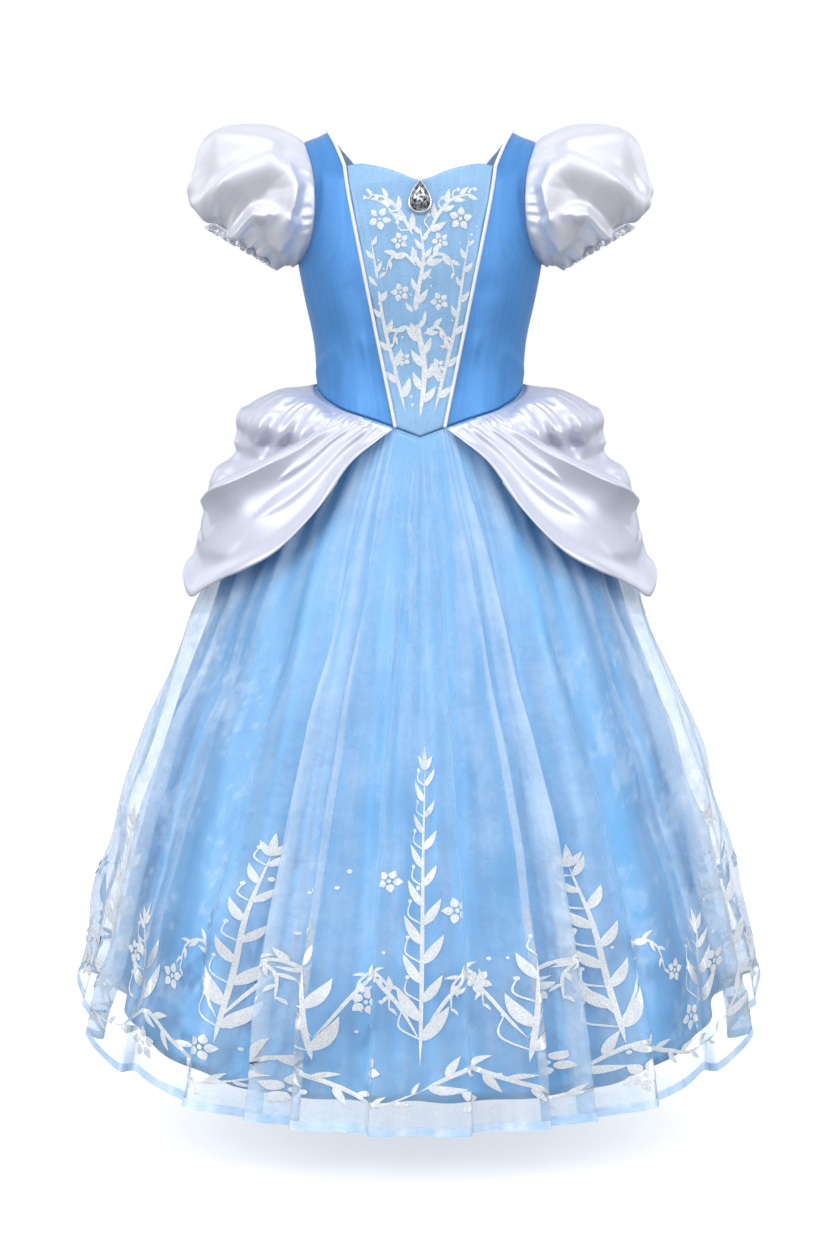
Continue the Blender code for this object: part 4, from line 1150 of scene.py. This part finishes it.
class DRESS_OT_peplum(bpy.types.Operator):
    """White satin peplum: a rolled front swag over a puffed hip that runs round to the back"""

    bl_idname = "dress.peplum"
    bl_label = "Peplum"

    def execute(self, context):
        # The peplum's colour is the sleeves' white, darkened and tinted lilac as painted shade
        white = context.scene.dress_cloth.peplum_white_painted_shade
        dim = tuple(0.96 * value for value in white)
        material = satin("peplum_satin", white, dim, 0.38, 0.05, 0.38)
        for side, word in SIDES:
            puff = self.puff("peplum_" + word + "_puff", side, material)
            swag = self.swag("peplum_" + word + "_swag", side, material)
            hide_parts("peplum_" + word)
            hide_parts("peplum_" + word)
        return {"FINISHED"}

    def puff(self, name, side, material):
        """Rows run down from the waist and columns round to the centre back. The cloth stands
        out in a rounded shelf and falls back; gathers fan out of the waist seam."""
        angle = np.linspace(31.0, 179.8, 300)[None, :]
        share = (np.linspace(0, 1, 76) ** 1.15)[:, None]
        shorter = 1 - 0.12 * (1 - smooth_step((angle - 82) / 12))
        down = share * read(PEPLUM, "angle", "edge", angle) * shorter
        puff = read(PEPLUM, "angle", "puff", angle) * read(PUFF, "share", "out", share)
        behind_swag = 1 - smooth_step((angle - 68) / 14)
        puff = puff * (1 - 0.55 * behind_swag * smooth_step((share - 0.16) / 0.14))
        edge = read(PEPLUM, "angle", "ridge", angle) * np.exp(-(((share - 0.9) / 0.5) ** 2)) * 0.25
        lift = puff + (edge + 0.004) * smooth_step(share / 0.10)
        grid = skirt(angle, down, lift + PEPLUM_CLEAR)
        normal = np.cross(np.gradient(grid, axis=1), np.gradient(grid, axis=0))
        normal /= np.linalg.norm(normal, axis=-1, keepdims=True)
        if (normal * grid * np.array([1, 1, 0])).sum() < 0:
            normal = -normal
        uneven = angle + 1.2 * np.sin(np.radians(9 * angle)) + 0.8 * np.sin(np.radians(23 * angle + 60))
        gather = np.cos(np.radians(108 * uneven)) * np.exp(-(((share - 0.05) / 0.10) ** 2))
        long = np.cos(np.radians(40 * uneven + 40)) * np.exp(-(((share - 0.13) / 0.14) ** 2))
        fold = 0.0006 * gather + 0.0010 * long
        fold = fold + 0.0006 * ripples(angle * 0.0024, share * 0.16, 53, 0.18, 0.08)
        x, z = grid[..., 0], grid[..., 2]
        front = smooth_step((-grid[..., 1] + 0.02) / 0.03)
        back = smooth_step((grid[..., 1] - 0.02) / 0.03)
        for line in HIP_FOLDS:
            fold = fold + front * crease(x, z, line.points, line.height, line.sharp, line.soft)
        for line in BACK_FOLDS:
            fold = fold + back * crease(x, z, line.points, line.height, line.sharp, line.soft)
        settled = smooth_step(share / 0.05) * (1 - 0.6 * smooth_step((share - 0.85) / 0.15))
        grid = mirrored(grid + normal * (fold * settled)[..., None], side)
        return surface(name, grid, lay_flat(grid), material, thickness=self.thickness())

    def swag(self, name, side, material):
        """Rows run from the lower edge up to the ridge, then round the roll and in beneath it;
        columns run from the waist to behind the hip."""
        t = np.linspace(0, 1, 150)[None, :]
        low_angle, low_down = swag_at(t, "low_angle"), swag_at(t, "low_down")
        top_angle, top_down = swag_at(t, "top_angle"), swag_at(t, "top_down")
        low_lift, top_lift = swag_at(t, "low_lift"), swag_at(t, "top_lift")
        per_degree, per_down = 0.0026, 0.61
        across = np.stack([(top_angle - low_angle) * per_degree, (top_down - low_down) * per_down], -1)
        length = np.linalg.norm(across, axis=-1)
        way_angle = across[..., 0] / length / per_degree
        way_down = across[..., 1] / length / per_down
        radius = 0.0095 * smooth_step(t / 0.25) * (1 - 0.8 * smooth_step((t - 0.62) / 0.30)) + 0.0015
        w = np.linspace(0, 1, 54)[:, None]
        bowed = w + 0.10 * np.sin(np.pi * w)
        lift = low_lift + (top_lift - low_lift) * w**2.6
        lift = lift + 0.0050 * np.exp(-(((w - 0.04) / 0.08) ** 2)) * smooth_step(t / 0.2)
        fold = 0.0007 * ripples(t * 0.30, w * 0.14, 61, 0.16, 0.06)
        for line in SWAG_FOLDS:
            fold = fold + crease(t + 0 * w, w + 0 * t, line.points, line.height, line.sharp, line.soft)
        pleat = np.cos(2 * np.pi * 5.5 * w + 0.7) * np.exp(-((t / 0.10) ** 2)) * smooth_step(t / 0.02)
        fold = (fold + 0.0016 * pleat) * smooth_step(t / 0.03) * smooth_step(w / 0.06)
        angle = low_angle + (top_angle - low_angle) * bowed
        down = low_down + (top_down - low_down) * bowed
        flat_part = angle, down, lift + fold
        turn = np.radians(np.linspace(0, 205, 17)[1:])[:, None]
        out = radius * np.sin(turn)
        roll_lift = top_lift - radius * (1 - np.cos(turn)) + fold[-1:] * (1 - smooth_step(turn / 2))
        roll = top_angle + way_angle * out, top_down + way_down * out, roll_lift
        inward = np.linspace(0, 1, 8)[1:, None]
        end = out[-1:] - 0.030 * inward
        tuck_lift = roll_lift[-1:] + (0.004 - roll_lift[-1:]) * smooth_step(inward) * 0.85
        tuck = top_angle + way_angle * end, top_down + way_down * end, tuck_lift
        angle, down, lift = (np.concatenate(parts) for parts in zip(flat_part, roll, tuck))
        settled = smooth_step(t / 0.05)
        grid = skirt(angle, np.maximum(down, 0.001), lift * settled + 0.003)
        grid = mirrored(grid, side)
        return surface(name, grid, lay_flat(grid), material, thickness=self.thickness())

    def thickness(self):
        return bpy.context.scene.dress_cloth.thickness


# Jewel: a pear-shaped stone in a silver rim, high on the centre panel
JEWEL_HEIGHT = -0.0625
JEWEL_HALF_WIDTH = 0.0106
JEWEL_HALF_LENGTH = 0.0135


def drop_ring(sides, scale, lift, shift=0.0):
    """Points round a pear-shaped drop on the centre panel, a circle whose sides draw in towards
    the top, at a distance out from the panel."""
    turn = 2 * np.pi * (np.arange(sides) + shift) / sides
    across = JEWEL_HALF_WIDTH * np.sin(turn) * np.sin(turn / 2) ** 1.1 * 1.12 * scale
    height = JEWEL_HEIGHT + JEWEL_HALF_LENGTH * np.cos(turn) * scale
    return torso(angle_at(across, height), height, BODICE_WALL + lift)


class DRESS_OT_jewel(bpy.types.Operator):
    """Faceted drop stone in a silver rim"""

    bl_idname = "dress.jewel"
    bl_label = "Jewel"

    def execute(self, context):
        self.setting()
        self.stone()
        return {"FINISHED"}

    def setting(self):
        material, nodes, links, shader = new_material("silver")
        where = nodes.new("ShaderNodeTexCoord").outputs["Object"]
        wear = ramp(nodes, links, noise(nodes, links, where, 400.0), 0.3, 0.7, 0.12, 0.30)
        links.new(wear, shader.inputs["Roughness"])
        tint = noise(nodes, links, where, 150.0)
        silver = mix_colour(nodes, links, tint, (0.52, 0.53, 0.56), (0.80, 0.81, 0.84))
        links.new(silver, shader.inputs["Base Color"])
        shader.inputs["Metallic"].default_value = 1.0
        rings = (
            (1.12, 0.0010), (1.18, 0.0022), (1.16, 0.0036), (1.08, 0.0042), (0.99, 0.0038), (0.95, 0.0024)
        )
        grid = np.stack([drop_ring(72, scale, lift) for scale, lift in rings])
        middle = drop_ring(72, 0.0, 0.0010).mean(0)
        grid = np.concatenate([grid[:0:-1], grid[:1], np.broadcast_to(middle, (1, 72, 3))])
        piece = surface("jewel_setting_rim", grid, lay_flat(grid, True), material, closed=True, centre=middle)
        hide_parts("jewel_setting")

    def stone(self):
        """Rings of points, every second one turned by half a step, joined by flat triangles."""
        material, nodes, links, shader = new_material("cut_stone")
        cells = nodes.new("ShaderNodeTexVoronoi")
        cells.inputs["Scale"].default_value = 330.0
        links.new(nodes.new("ShaderNodeTexCoord").outputs["Object"], cells.inputs["Vector"])
        # Painted reflections: random cells from near black to light grey stand in for facets catching and
        # missing the light
        shade = ramp(nodes, links, cells.outputs["Color"], 0.25, 0.80, 0.0, 1.0)
        facets = mix_colour(nodes, links, shade, (0.035, 0.035, 0.045), (0.62, 0.65, 0.70))
        links.new(facets, shader.inputs["Base Color"])
        shader.inputs["Metallic"].default_value = 0.85
        shader.inputs["Roughness"].default_value = 0.06
        shader.inputs["Coat Weight"].default_value = 1.0
        sides = 14
        cuts = ((0.99, 0.0026), (0.80, 0.0050), (0.62, 0.0062), (0.42, 0.0066))
        rings = [drop_ring(sides, scale, lift, i / 2) for i, (scale, lift) in enumerate(cuts)]
        points = np.concatenate([*rings, rings[-1].mean(0, keepdims=True), rings[0].mean(0, keepdims=True)])
        index = np.arange(len(cuts) * sides).reshape(len(cuts), sides)
        after = np.roll(index, -1, 1)
        faces = []
        for low, low_after, high, high_after in zip(index[:-1], after[:-1], index[1:], after[1:]):
            faces += np.stack([low, low_after, high], -1).tolist()
            faces += np.stack([low_after, high_after, high], -1).tolist()
        top, bottom = len(points) - 2, len(points) - 1
        faces += [(a, b, top) for a, b in zip(index[-1], after[-1])]
        faces += [(b, a, bottom) for a, b in zip(index[0], after[0])]
        mesh = bpy.data.meshes.new("jewel_stone_cut")
        mesh.from_pydata(points.tolist(), [], [[int(v) for v in face] for face in faces])
        mesh.materials.append(material)
        piece = bpy.data.objects.new("jewel_stone_cut", mesh)
        bpy.context.scene.collection.objects.link(piece)
        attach(piece, "root")
        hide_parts("jewel_stone")


# A print is a list of strokes on the flat cloth, each a path of STROKE_POINTS points with the
# half width of the line at every one, in metres
STROKE_POINTS = 17
ALONG = np.linspace(0, 1, STROKE_POINTS)


def heading(angle):
    return np.array([math.cos(angle), math.sin(angle)])


def line_stroke(points, width, ends=0.25):
    """Smooth line through points, thickest at a third of its length and thin at both ends."""
    points = np.asarray(points, float)
    knots = np.linspace(0, 1, len(points))
    path = np.stack([curve(ALONG, knots, points[:, i]) for i in range(2)], -1)
    shape = ends + (1 - ends) * np.sin(np.pi * np.clip(ALONG, 0, 1) ** 0.6)
    return path, width / 2 * shape * np.minimum(1, 12 * np.minimum(ALONG + 0.02, 1.02 - ALONG))


def leaf_stroke(base, way, length, width, bend):
    """Leaf from its base along a direction, bent sideways, widest at two fifths."""
    ahead, aside = heading(way), heading(way + np.pi / 2)
    path = np.asarray(base) + length * (ALONG[:, None] * ahead + bend * (ALONG[:, None] ** 2) * aside)
    return path, width / 2 * np.sin(np.pi * ALONG**0.72) ** 0.9


def dot_stroke(middle, radius):
    across = np.linspace(-1, 1, STROKE_POINTS)
    path = np.asarray(middle) + np.stack([radius * across, 0 * across], -1)
    return path, radius * np.sqrt(np.maximum(1 - across**2, 0))


def flower_strokes(middle, radius, turn):
    """Five round petals about a dot."""
    middle = np.asarray(middle)
    strokes = [dot_stroke(middle, 0.17 * radius)]
    for k in range(5):
        way = turn + 2 * np.pi * k / 5
        base = middle + 0.27 * radius * heading(way)
        strokes.append(leaf_stroke(base, way, 0.75 * radius, 0.62 * radius, 0.05))
    return strokes


def stem_strokes(points, width, pairs, leaf, slim, seed, reach=(0.08, 0.94), tendrils=True):
    """A stem with leaves in turn on either side, shorter towards its tip, and with a fine
    tendril that ends in a dot beside every second leaf."""
    rng = np.random.default_rng(seed)
    path, _ = line_stroke(points, width)
    strokes = [line_stroke(points, width)]
    run = np.gradient(path, axis=0)
    for k, at in enumerate(np.linspace(*reach, pairs)):
        i = at * (STROKE_POINTS - 1)
        base = np.array([np.interp(i, np.arange(STROKE_POINTS), path[:, j]) for j in range(2)])
        ahead = [np.interp(i, np.arange(STROKE_POINTS), run[:, j]) for j in range(2)]
        way = math.atan2(ahead[1], ahead[0])
        side = 1 if k % 2 else -1
        length = leaf * (1 - 0.55 * at) * rng.uniform(0.88, 1.12)
        strokes.append(leaf_stroke(base, way + side * 0.85, length, slim * length, -0.25 * side))
        if tendrils and k % 2 == 0:
            start = way - side * 1.05
            tip = base + 0.85 * length * heading(start + side * 0.5)
            bow = base + 0.55 * length * heading(start)
            strokes.append(line_stroke([base, bow, tip], 0.0016, 0.5))
            strokes.append(dot_stroke(tip, 0.0018))
    return strokes


def spray_strokes(x, foot, top, lean, seed):
    """Upright spray: a stem, leaves, a bud at its tip and two flowers part of the way up."""
    rise = top - foot
    points = [(x, foot), (x + 0.30 * lean, foot + 0.35 * rise)]
    points += [(x + 0.55 * lean, foot + 0.7 * rise), (x + lean, top)]
    strokes = stem_strokes(points, 0.0040, max(6, int(rise / 0.017)), 0.036, 0.30, seed)
    tip = np.array(points[-1])
    for turn, length in ((1.57, 0.020), (0.95, 0.015), (2.19, 0.015)):
        strokes.append(leaf_stroke(tip, turn, length, 0.0055, 0.0))
    for side in (1, -1) if abs(x) < 0.25 else ():
        arm = [(x, foot + 0.02), (x + side * 0.024, foot + 0.062), (x + side * 0.044, foot + 0.080)]
        arm += [(x + side * 0.060, foot + 0.070), (x + side * 0.062, foot + 0.046)]
        strokes += stem_strokes(arm, 0.0032, 8, 0.017, 0.30, seed + 7 * side, (0.25, 0.97), False)
    strokes += flower_strokes((x + 0.030, foot + 0.52 * rise), 0.0115, 0.4 + seed)
    strokes += flower_strokes((x - 0.026, foot + 0.62 * rise), 0.0100, 0.9 + seed)
    return strokes


def print_piece(name, strokes, place, material, seed=0):
    """One mesh of all strokes. place turns chart coordinates and a height above the cloth into
    points; every stroke is a strip three points wide, a little higher along its middle."""
    paths = np.stack([path for path, _ in strokes])
    widths = np.stack([width for _, width in strokes])
    run = np.gradient(paths, axis=1)
    run /= np.maximum(np.linalg.norm(run, axis=-1, keepdims=True), 1e-9)
    aside = np.stack([-run[..., 1], run[..., 0]], -1)
    across = np.linspace(1, -1, 3)
    chart = paths[:, :, None] + aside[:, :, None] * (widths[..., None] * across)[..., None]
    dome = 0.00018 * (1 - across**2) + 0 * widths[..., None]
    layer = 0.00004 * (np.arange(len(strokes)) % 5)[:, None, None]
    grid = place(chart[..., 0], chart[..., 1], dome + layer)
    index = np.arange(grid[..., 0].size).reshape(grid.shape[:3])
    faces = np.stack([index[:, :-1, :-1], index[:, :-1, 1:], index[:, 1:, 1:], index[:, 1:, :-1]], -1)
    mesh = bpy.data.meshes.new(name)
    mesh.from_pydata(grid.reshape(-1, 3).tolist(), [], faces.reshape(-1, 4)[:, ::-1].tolist())
    mesh.materials.append(material)
    mesh.shade_smooth()
    piece = bpy.data.objects.new(name, mesh)
    bpy.context.scene.collection.objects.link(piece)
    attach(piece, "root")
    return piece


class DRESS_OT_bodice_print(bpy.types.Operator):
    """Glitter print of a leafy stem with flowers up the centre panel"""

    bl_idname = "dress.bodice_print"
    bl_label = "Bodice print"

    def execute(self, context):
        settings = context.scene.dress_print
        strokes = []
        stem = ((0.0, -0.262), (0.004, -0.215), (-0.004, -0.165), (0.003, -0.120), (0.0, -0.088))
        strokes += stem_strokes(stem, 0.0052, 16, 0.022, 0.36, 3, tendrils=False)
        for x, z, radius in (
            (0.0175, -0.1560, 0.0085), (-0.0175, -0.1480, 0.0085), (-0.0150, -0.2080, 0.0070),
            (0.0155, -0.2140, 0.0070), (-0.0360, -0.0820, 0.0105), (0.0360, -0.0820, 0.0105),
            (-0.0180, -0.1020, 0.0080), (0.0180, -0.1020, 0.0080),
        ):
            strokes += flower_strokes((x, z), radius, 40 * x)
        for side in (1, -1):
            edge = [(side * 0.0130, -0.2560), (side * 0.0230, -0.2150), (side * 0.0330, -0.1720),
                    (side * 0.0385, -0.1320), (side * 0.0440, -0.0980)]
            strokes += stem_strokes(edge, 0.0034, 11, 0.0180, 0.40, 11 + side, tendrils=False)
            arch = [(side * 0.006, -0.0980), (side * 0.018, -0.0760), (side * 0.030, -0.0640),
                    (side * 0.046, -0.0600)]
            strokes += stem_strokes(arch, 0.0034, 7, 0.0175, 0.40, 21 + side)
            low = [(side * 0.003, -0.1860), (side * 0.014, -0.1790), (side * 0.022, -0.1860),
                   (side * 0.0235, -0.1960)]
            strokes += stem_strokes(low, 0.0030, 5, 0.0130, 0.42, 31 + side, tendrils=False)
            high = [(side * 0.003, -0.1250), (side * 0.014, -0.1140), (side * 0.026, -0.1180),
                    (side * 0.031, -0.1330)]
            strokes += stem_strokes(high, 0.0030, 5, 0.0150, 0.42, 41 + side, tendrils=False)
        rng = np.random.default_rng(8)
        for z in np.linspace(-0.250, -0.058, 26):
            edge = float(straight(FRONT_SEAM, "height", "half_width", z)) - 0.006
            strokes.append(dot_stroke((rng.uniform(-edge, edge), z), rng.uniform(0.0008, 0.0014)))

        def place(x, z, lift):
            return torso(angle_at(x, z), z, BODICE_WALL + settings.lift + lift) - np.array([0, GAP / 2, 0])

        piece = print_piece("bodice_print", strokes, place, glitter("print_glitter", settings.colour))
        return {"FINISHED"}


class DRESS_OT_skirt_print(bpy.types.Operator):
    """Glitter print round the overskirt: a vine above the hem, flowers and upright sprays"""

    bl_idname = "dress.skirt_print"
    bl_label = "Skirt print"

    def execute(self, context):
        settings = context.scene.dress_print
        hem, per_degree = 0.61, 0.0053
        half = 180 * per_degree
        strokes = []
        step = 2 * half / 12
        for k in range(12):
            x = -half + (k + 0.5) * step
            wave = [(x - step / 2, 0.038), (x - step / 4, 0.058), (x, 0.042)]
            wave += [(x + step / 4, 0.024), (x + step / 2, 0.038)]
            strokes += stem_strokes(wave, 0.0042, 12, 0.024, 0.30, 100 + k, (0.04, 0.96), False)
            strokes += flower_strokes((x - step / 4, 0.030), 0.0140, 0.3 + k)
            strokes += flower_strokes((x + step / 4, 0.054), 0.0120, 1.1 + k)
        sprays = (
            (0.0, 0.315, 0.006), (0.085, 0.170, 0.020), (-0.085, 0.160, -0.018), (0.190, 0.215, -0.014),
            (-0.190, 0.225, 0.014), (0.290, 0.130, 0.020), (-0.290, 0.135, -0.020), (0.390, 0.190, 0.012),
            (-0.390, 0.185, -0.012), (0.510, 0.150, 0.015), (-0.510, 0.155, -0.015), (0.630, 0.210, 0.015),
            (-0.630, 0.205, -0.015), (0.760, 0.150, 0.018), (-0.760, 0.150, -0.018), (0.880, 0.230, 0.010),
            (-0.880, 0.220, -0.010),
        )
        for k, (x, top, lean) in enumerate(sprays):
            strokes += spray_strokes(x, 0.060, top, lean, 200 + k)
        rng = np.random.default_rng(12)
        for x, y in zip(rng.uniform(-half, half, 150), 0.03 + 0.20 * rng.random(150) ** 1.4):
            strokes.append(dot_stroke((x, y), rng.uniform(0.0011, 0.0022)))

        def place(x, y, lift):
            return overskirt(x / per_degree, 1 - y / hem, 0.0006 + settings.lift + lift)

        piece = print_piece("skirt_print", strokes, place, glitter("skirt_glitter", settings.colour))
        return {"FINISHED"}


class DRESS_OT_stage(bpy.types.Operator):
    """Floor, lamps, sky and camera"""

    bl_idname = "dress.stage"
    bl_label = "Stage"

    def execute(self, context):
        stage = context.scene.dress_stage
        self.floor(stage)
        self.sky(context)
        self.lamps(stage)
        self.camera(context, stage)
        context.scene.view_settings.view_transform = "Standard"
        return {"FINISHED"}

    def floor(self, stage):
        material, nodes, links, shader = new_material("floor_paper")
        where = nodes.new("ShaderNodeTexCoord").outputs["Object"]
        grain = noise(nodes, links, where, 40.0, 2.0)
        tint = ramp(nodes, links, grain, 0.3, 0.7, 0.0, 1.0)
        paper = mix_colour(nodes, links, tint, (0.84, 0.84, 0.85), (0.86, 0.86, 0.87))
        links.new(paper, shader.inputs["Base Color"])
        shader.inputs["Roughness"].default_value = 0.9
        middle = nodes.new("ShaderNodeVectorMath")
        middle.operation = "LENGTH"
        links.new(where, middle.inputs[0])
        # Painted light: the floor glows white, at 0.58 near the middle and up to 1.0 further out, so it fades
        # into the white sky and the dress's shadow on it stays pale
        away = ramp(nodes, links, middle.outputs["Value"], 0.95, 1.8, 0.58, 1.0)
        shader.inputs["Emission Color"].default_value = (1.0, 1.0, 1.0, 1.0)
        links.new(away, shader.inputs["Emission Strength"])
        radius = np.linspace(0.0, 6.0, 13)[:, None]
        turn = np.radians(np.arange(0, 360, 5))[None, :]
        z = stage.floor_height + 0 * radius * turn
        grid = np.stack([radius * np.cos(turn), radius * np.sin(turn), z], -1)
        mesh = bpy.data.meshes.new("floor")
        index = np.arange(grid[..., 0].size).reshape(grid.shape[:2])
        index = np.concatenate([index, index[:, :1]], 1)
        faces = np.stack([index[:-1, :-1], index[1:, :-1], index[1:, 1:], index[:-1, 1:]], -1).reshape(-1, 4)
        mesh.from_pydata(grid.reshape(-1, 3).tolist(), [], faces.tolist())
        mesh.materials.append(material)
        floor = bpy.data.objects.new("floor", mesh)
        bpy.context.scene.collection.objects.link(floor)
        floor.visible_diffuse = False
        floor.visible_glossy = False

    def sky(self, context):
        """White where the camera sees it; for the cloth, grey that is darker towards the floor."""
        world = bpy.data.worlds.new("studio")
        context.scene.world = world
        world.use_nodes = True
        nodes, links = world.node_tree.nodes, world.node_tree.links
        seen = nodes["Background"]
        seen.inputs["Color"].default_value = (1.0, 1.0, 1.0, 1.0)
        seen.inputs["Strength"].default_value = 1.0
        light = nodes.new("ShaderNodeBackground")
        light.inputs["Color"].default_value = (0.90, 0.93, 1.0, 1.0)
        height = nodes.new("ShaderNodeSeparateXYZ")
        links.new(nodes.new("ShaderNodeTexCoord").outputs["Generated"], height.inputs[0])
        links.new(ramp(nodes, links, height.outputs["Z"], -0.7, 0.8, 0.28, 0.80), light.inputs["Strength"])
        path = nodes.new("ShaderNodeLightPath")
        mix = nodes.new("ShaderNodeMixShader")
        links.new(path.outputs["Is Camera Ray"], mix.inputs["Fac"])
        links.new(light.outputs["Background"], mix.inputs[1])
        links.new(seen.outputs["Background"], mix.inputs[2])
        links.new(mix.outputs["Shader"], nodes["World Output"].inputs["Surface"])

    def lamps(self, stage):
        Lamp = namedtuple("Lamp", "name place power width height")
        lamps = (
            Lamp("left_box", (-1.25, -2.3, 1.15), 30.0, 0.7, 1.2),
            Lamp("right_box", (1.25, -2.3, 1.15), 24.0, 0.7, 1.2),
            Lamp("left_strip", (-2.3, -1.7, 0.1), 58.0, 0.35, 2.0),
            Lamp("right_strip", (2.3, -1.7, 0.1), 52.0, 0.35, 2.0),
            Lamp("front", (0.0, -2.9, 0.2), 10.0, 1.2, 1.2),
            Lamp("top", (0.0, -0.5, 2.1), 40.0, 1.4, 1.0),
            Lamp("back_left", (1.9, 1.7, 0.6), 10.0, 1.0, 1.2),
            Lamp("back_right", (-1.9, 1.7, 0.6), 10.0, 1.0, 1.2),
        )
        target = np.array([0.0, 0.0, stage.target_height])
        for lamp in lamps:
            data = bpy.data.lights.new(lamp.name, "AREA")
            data.energy = lamp.power * stage.light
            data.shape = "RECTANGLE"
            data.size, data.size_y = lamp.width, lamp.height
            obj = bpy.data.objects.new(lamp.name, data)
            place = np.array(lamp.place)
            obj.location = place
            obj.rotation_euler = look_along(target - place)
            bpy.context.scene.collection.objects.link(obj)

    def camera(self, context, stage):
        data = bpy.data.cameras.new("camera")
        data.sensor_fit = "VERTICAL"
        data.sensor_height = 36.0
        data.lens = 36.0 * stage.distance / stage.frame_height
        camera = bpy.data.objects.new("camera", data)
        back = np.array([0.0, -math.cos(stage.elevation), math.sin(stage.elevation)])
        camera.location = np.array([0.0, 0.0, stage.target_height]) + stage.distance * back
        camera.rotation_euler = look_along(-back)
        context.scene.collection.objects.link(camera)
        context.scene.camera = camera


def look_along(way):
    """Rotation that points a camera or lamp along a direction, with its top up."""
    flat = math.hypot(way[0], way[1])
    return (math.atan2(flat, -way[2]), 0.0, math.atan2(-way[0], way[1]))


class DRESS_PT_panel(bpy.types.Panel):
    bl_label = "Princess costume dress"
    bl_space_type = "VIEW_3D"
    bl_region_type = "UI"
    bl_category = "Dress"

    def draw(self, context):
        for group in (context.scene.dress_cloth, context.scene.dress_print, context.scene.dress_stage):
            box = self.layout.box()
            for name in group.__annotations__:
                box.prop(group, name)
        for operator in OPERATORS:
            self.layout.operator(operator.bl_idname)


OPERATORS = (
    DRESS_OT_bodice,
    DRESS_OT_piping,
    DRESS_OT_underskirt,
    DRESS_OT_overskirt,
    DRESS_OT_sleeves,
    DRESS_OT_peplum,
    DRESS_OT_jewel,
    DRESS_OT_bodice_print,
    DRESS_OT_skirt_print,
    DRESS_OT_stage,
)
GROUPS = (DressCloth, DressPrint, DressStage)


def register():
    for cls in (*GROUPS, *OPERATORS, DRESS_PT_panel):
        bpy.utils.register_class(cls)
    bpy.types.Scene.dress_cloth = PointerProperty(type=DressCloth)
    bpy.types.Scene.dress_print = PointerProperty(type=DressPrint)
    bpy.types.Scene.dress_stage = PointerProperty(type=DressStage)


def unregister():
    for name in ("dress_cloth", "dress_print", "dress_stage"):
        delattr(bpy.types.Scene, name)
    for cls in (DRESS_PT_panel, *reversed(OPERATORS), *reversed(GROUPS)):
        bpy.utils.unregister_class(cls)


def main():
    register()
    for operator in OPERATORS:
        group, name = operator.bl_idname.split(".")
        getattr(getattr(bpy.ops, group), name)()


if __name__ == "__main__":
    main()
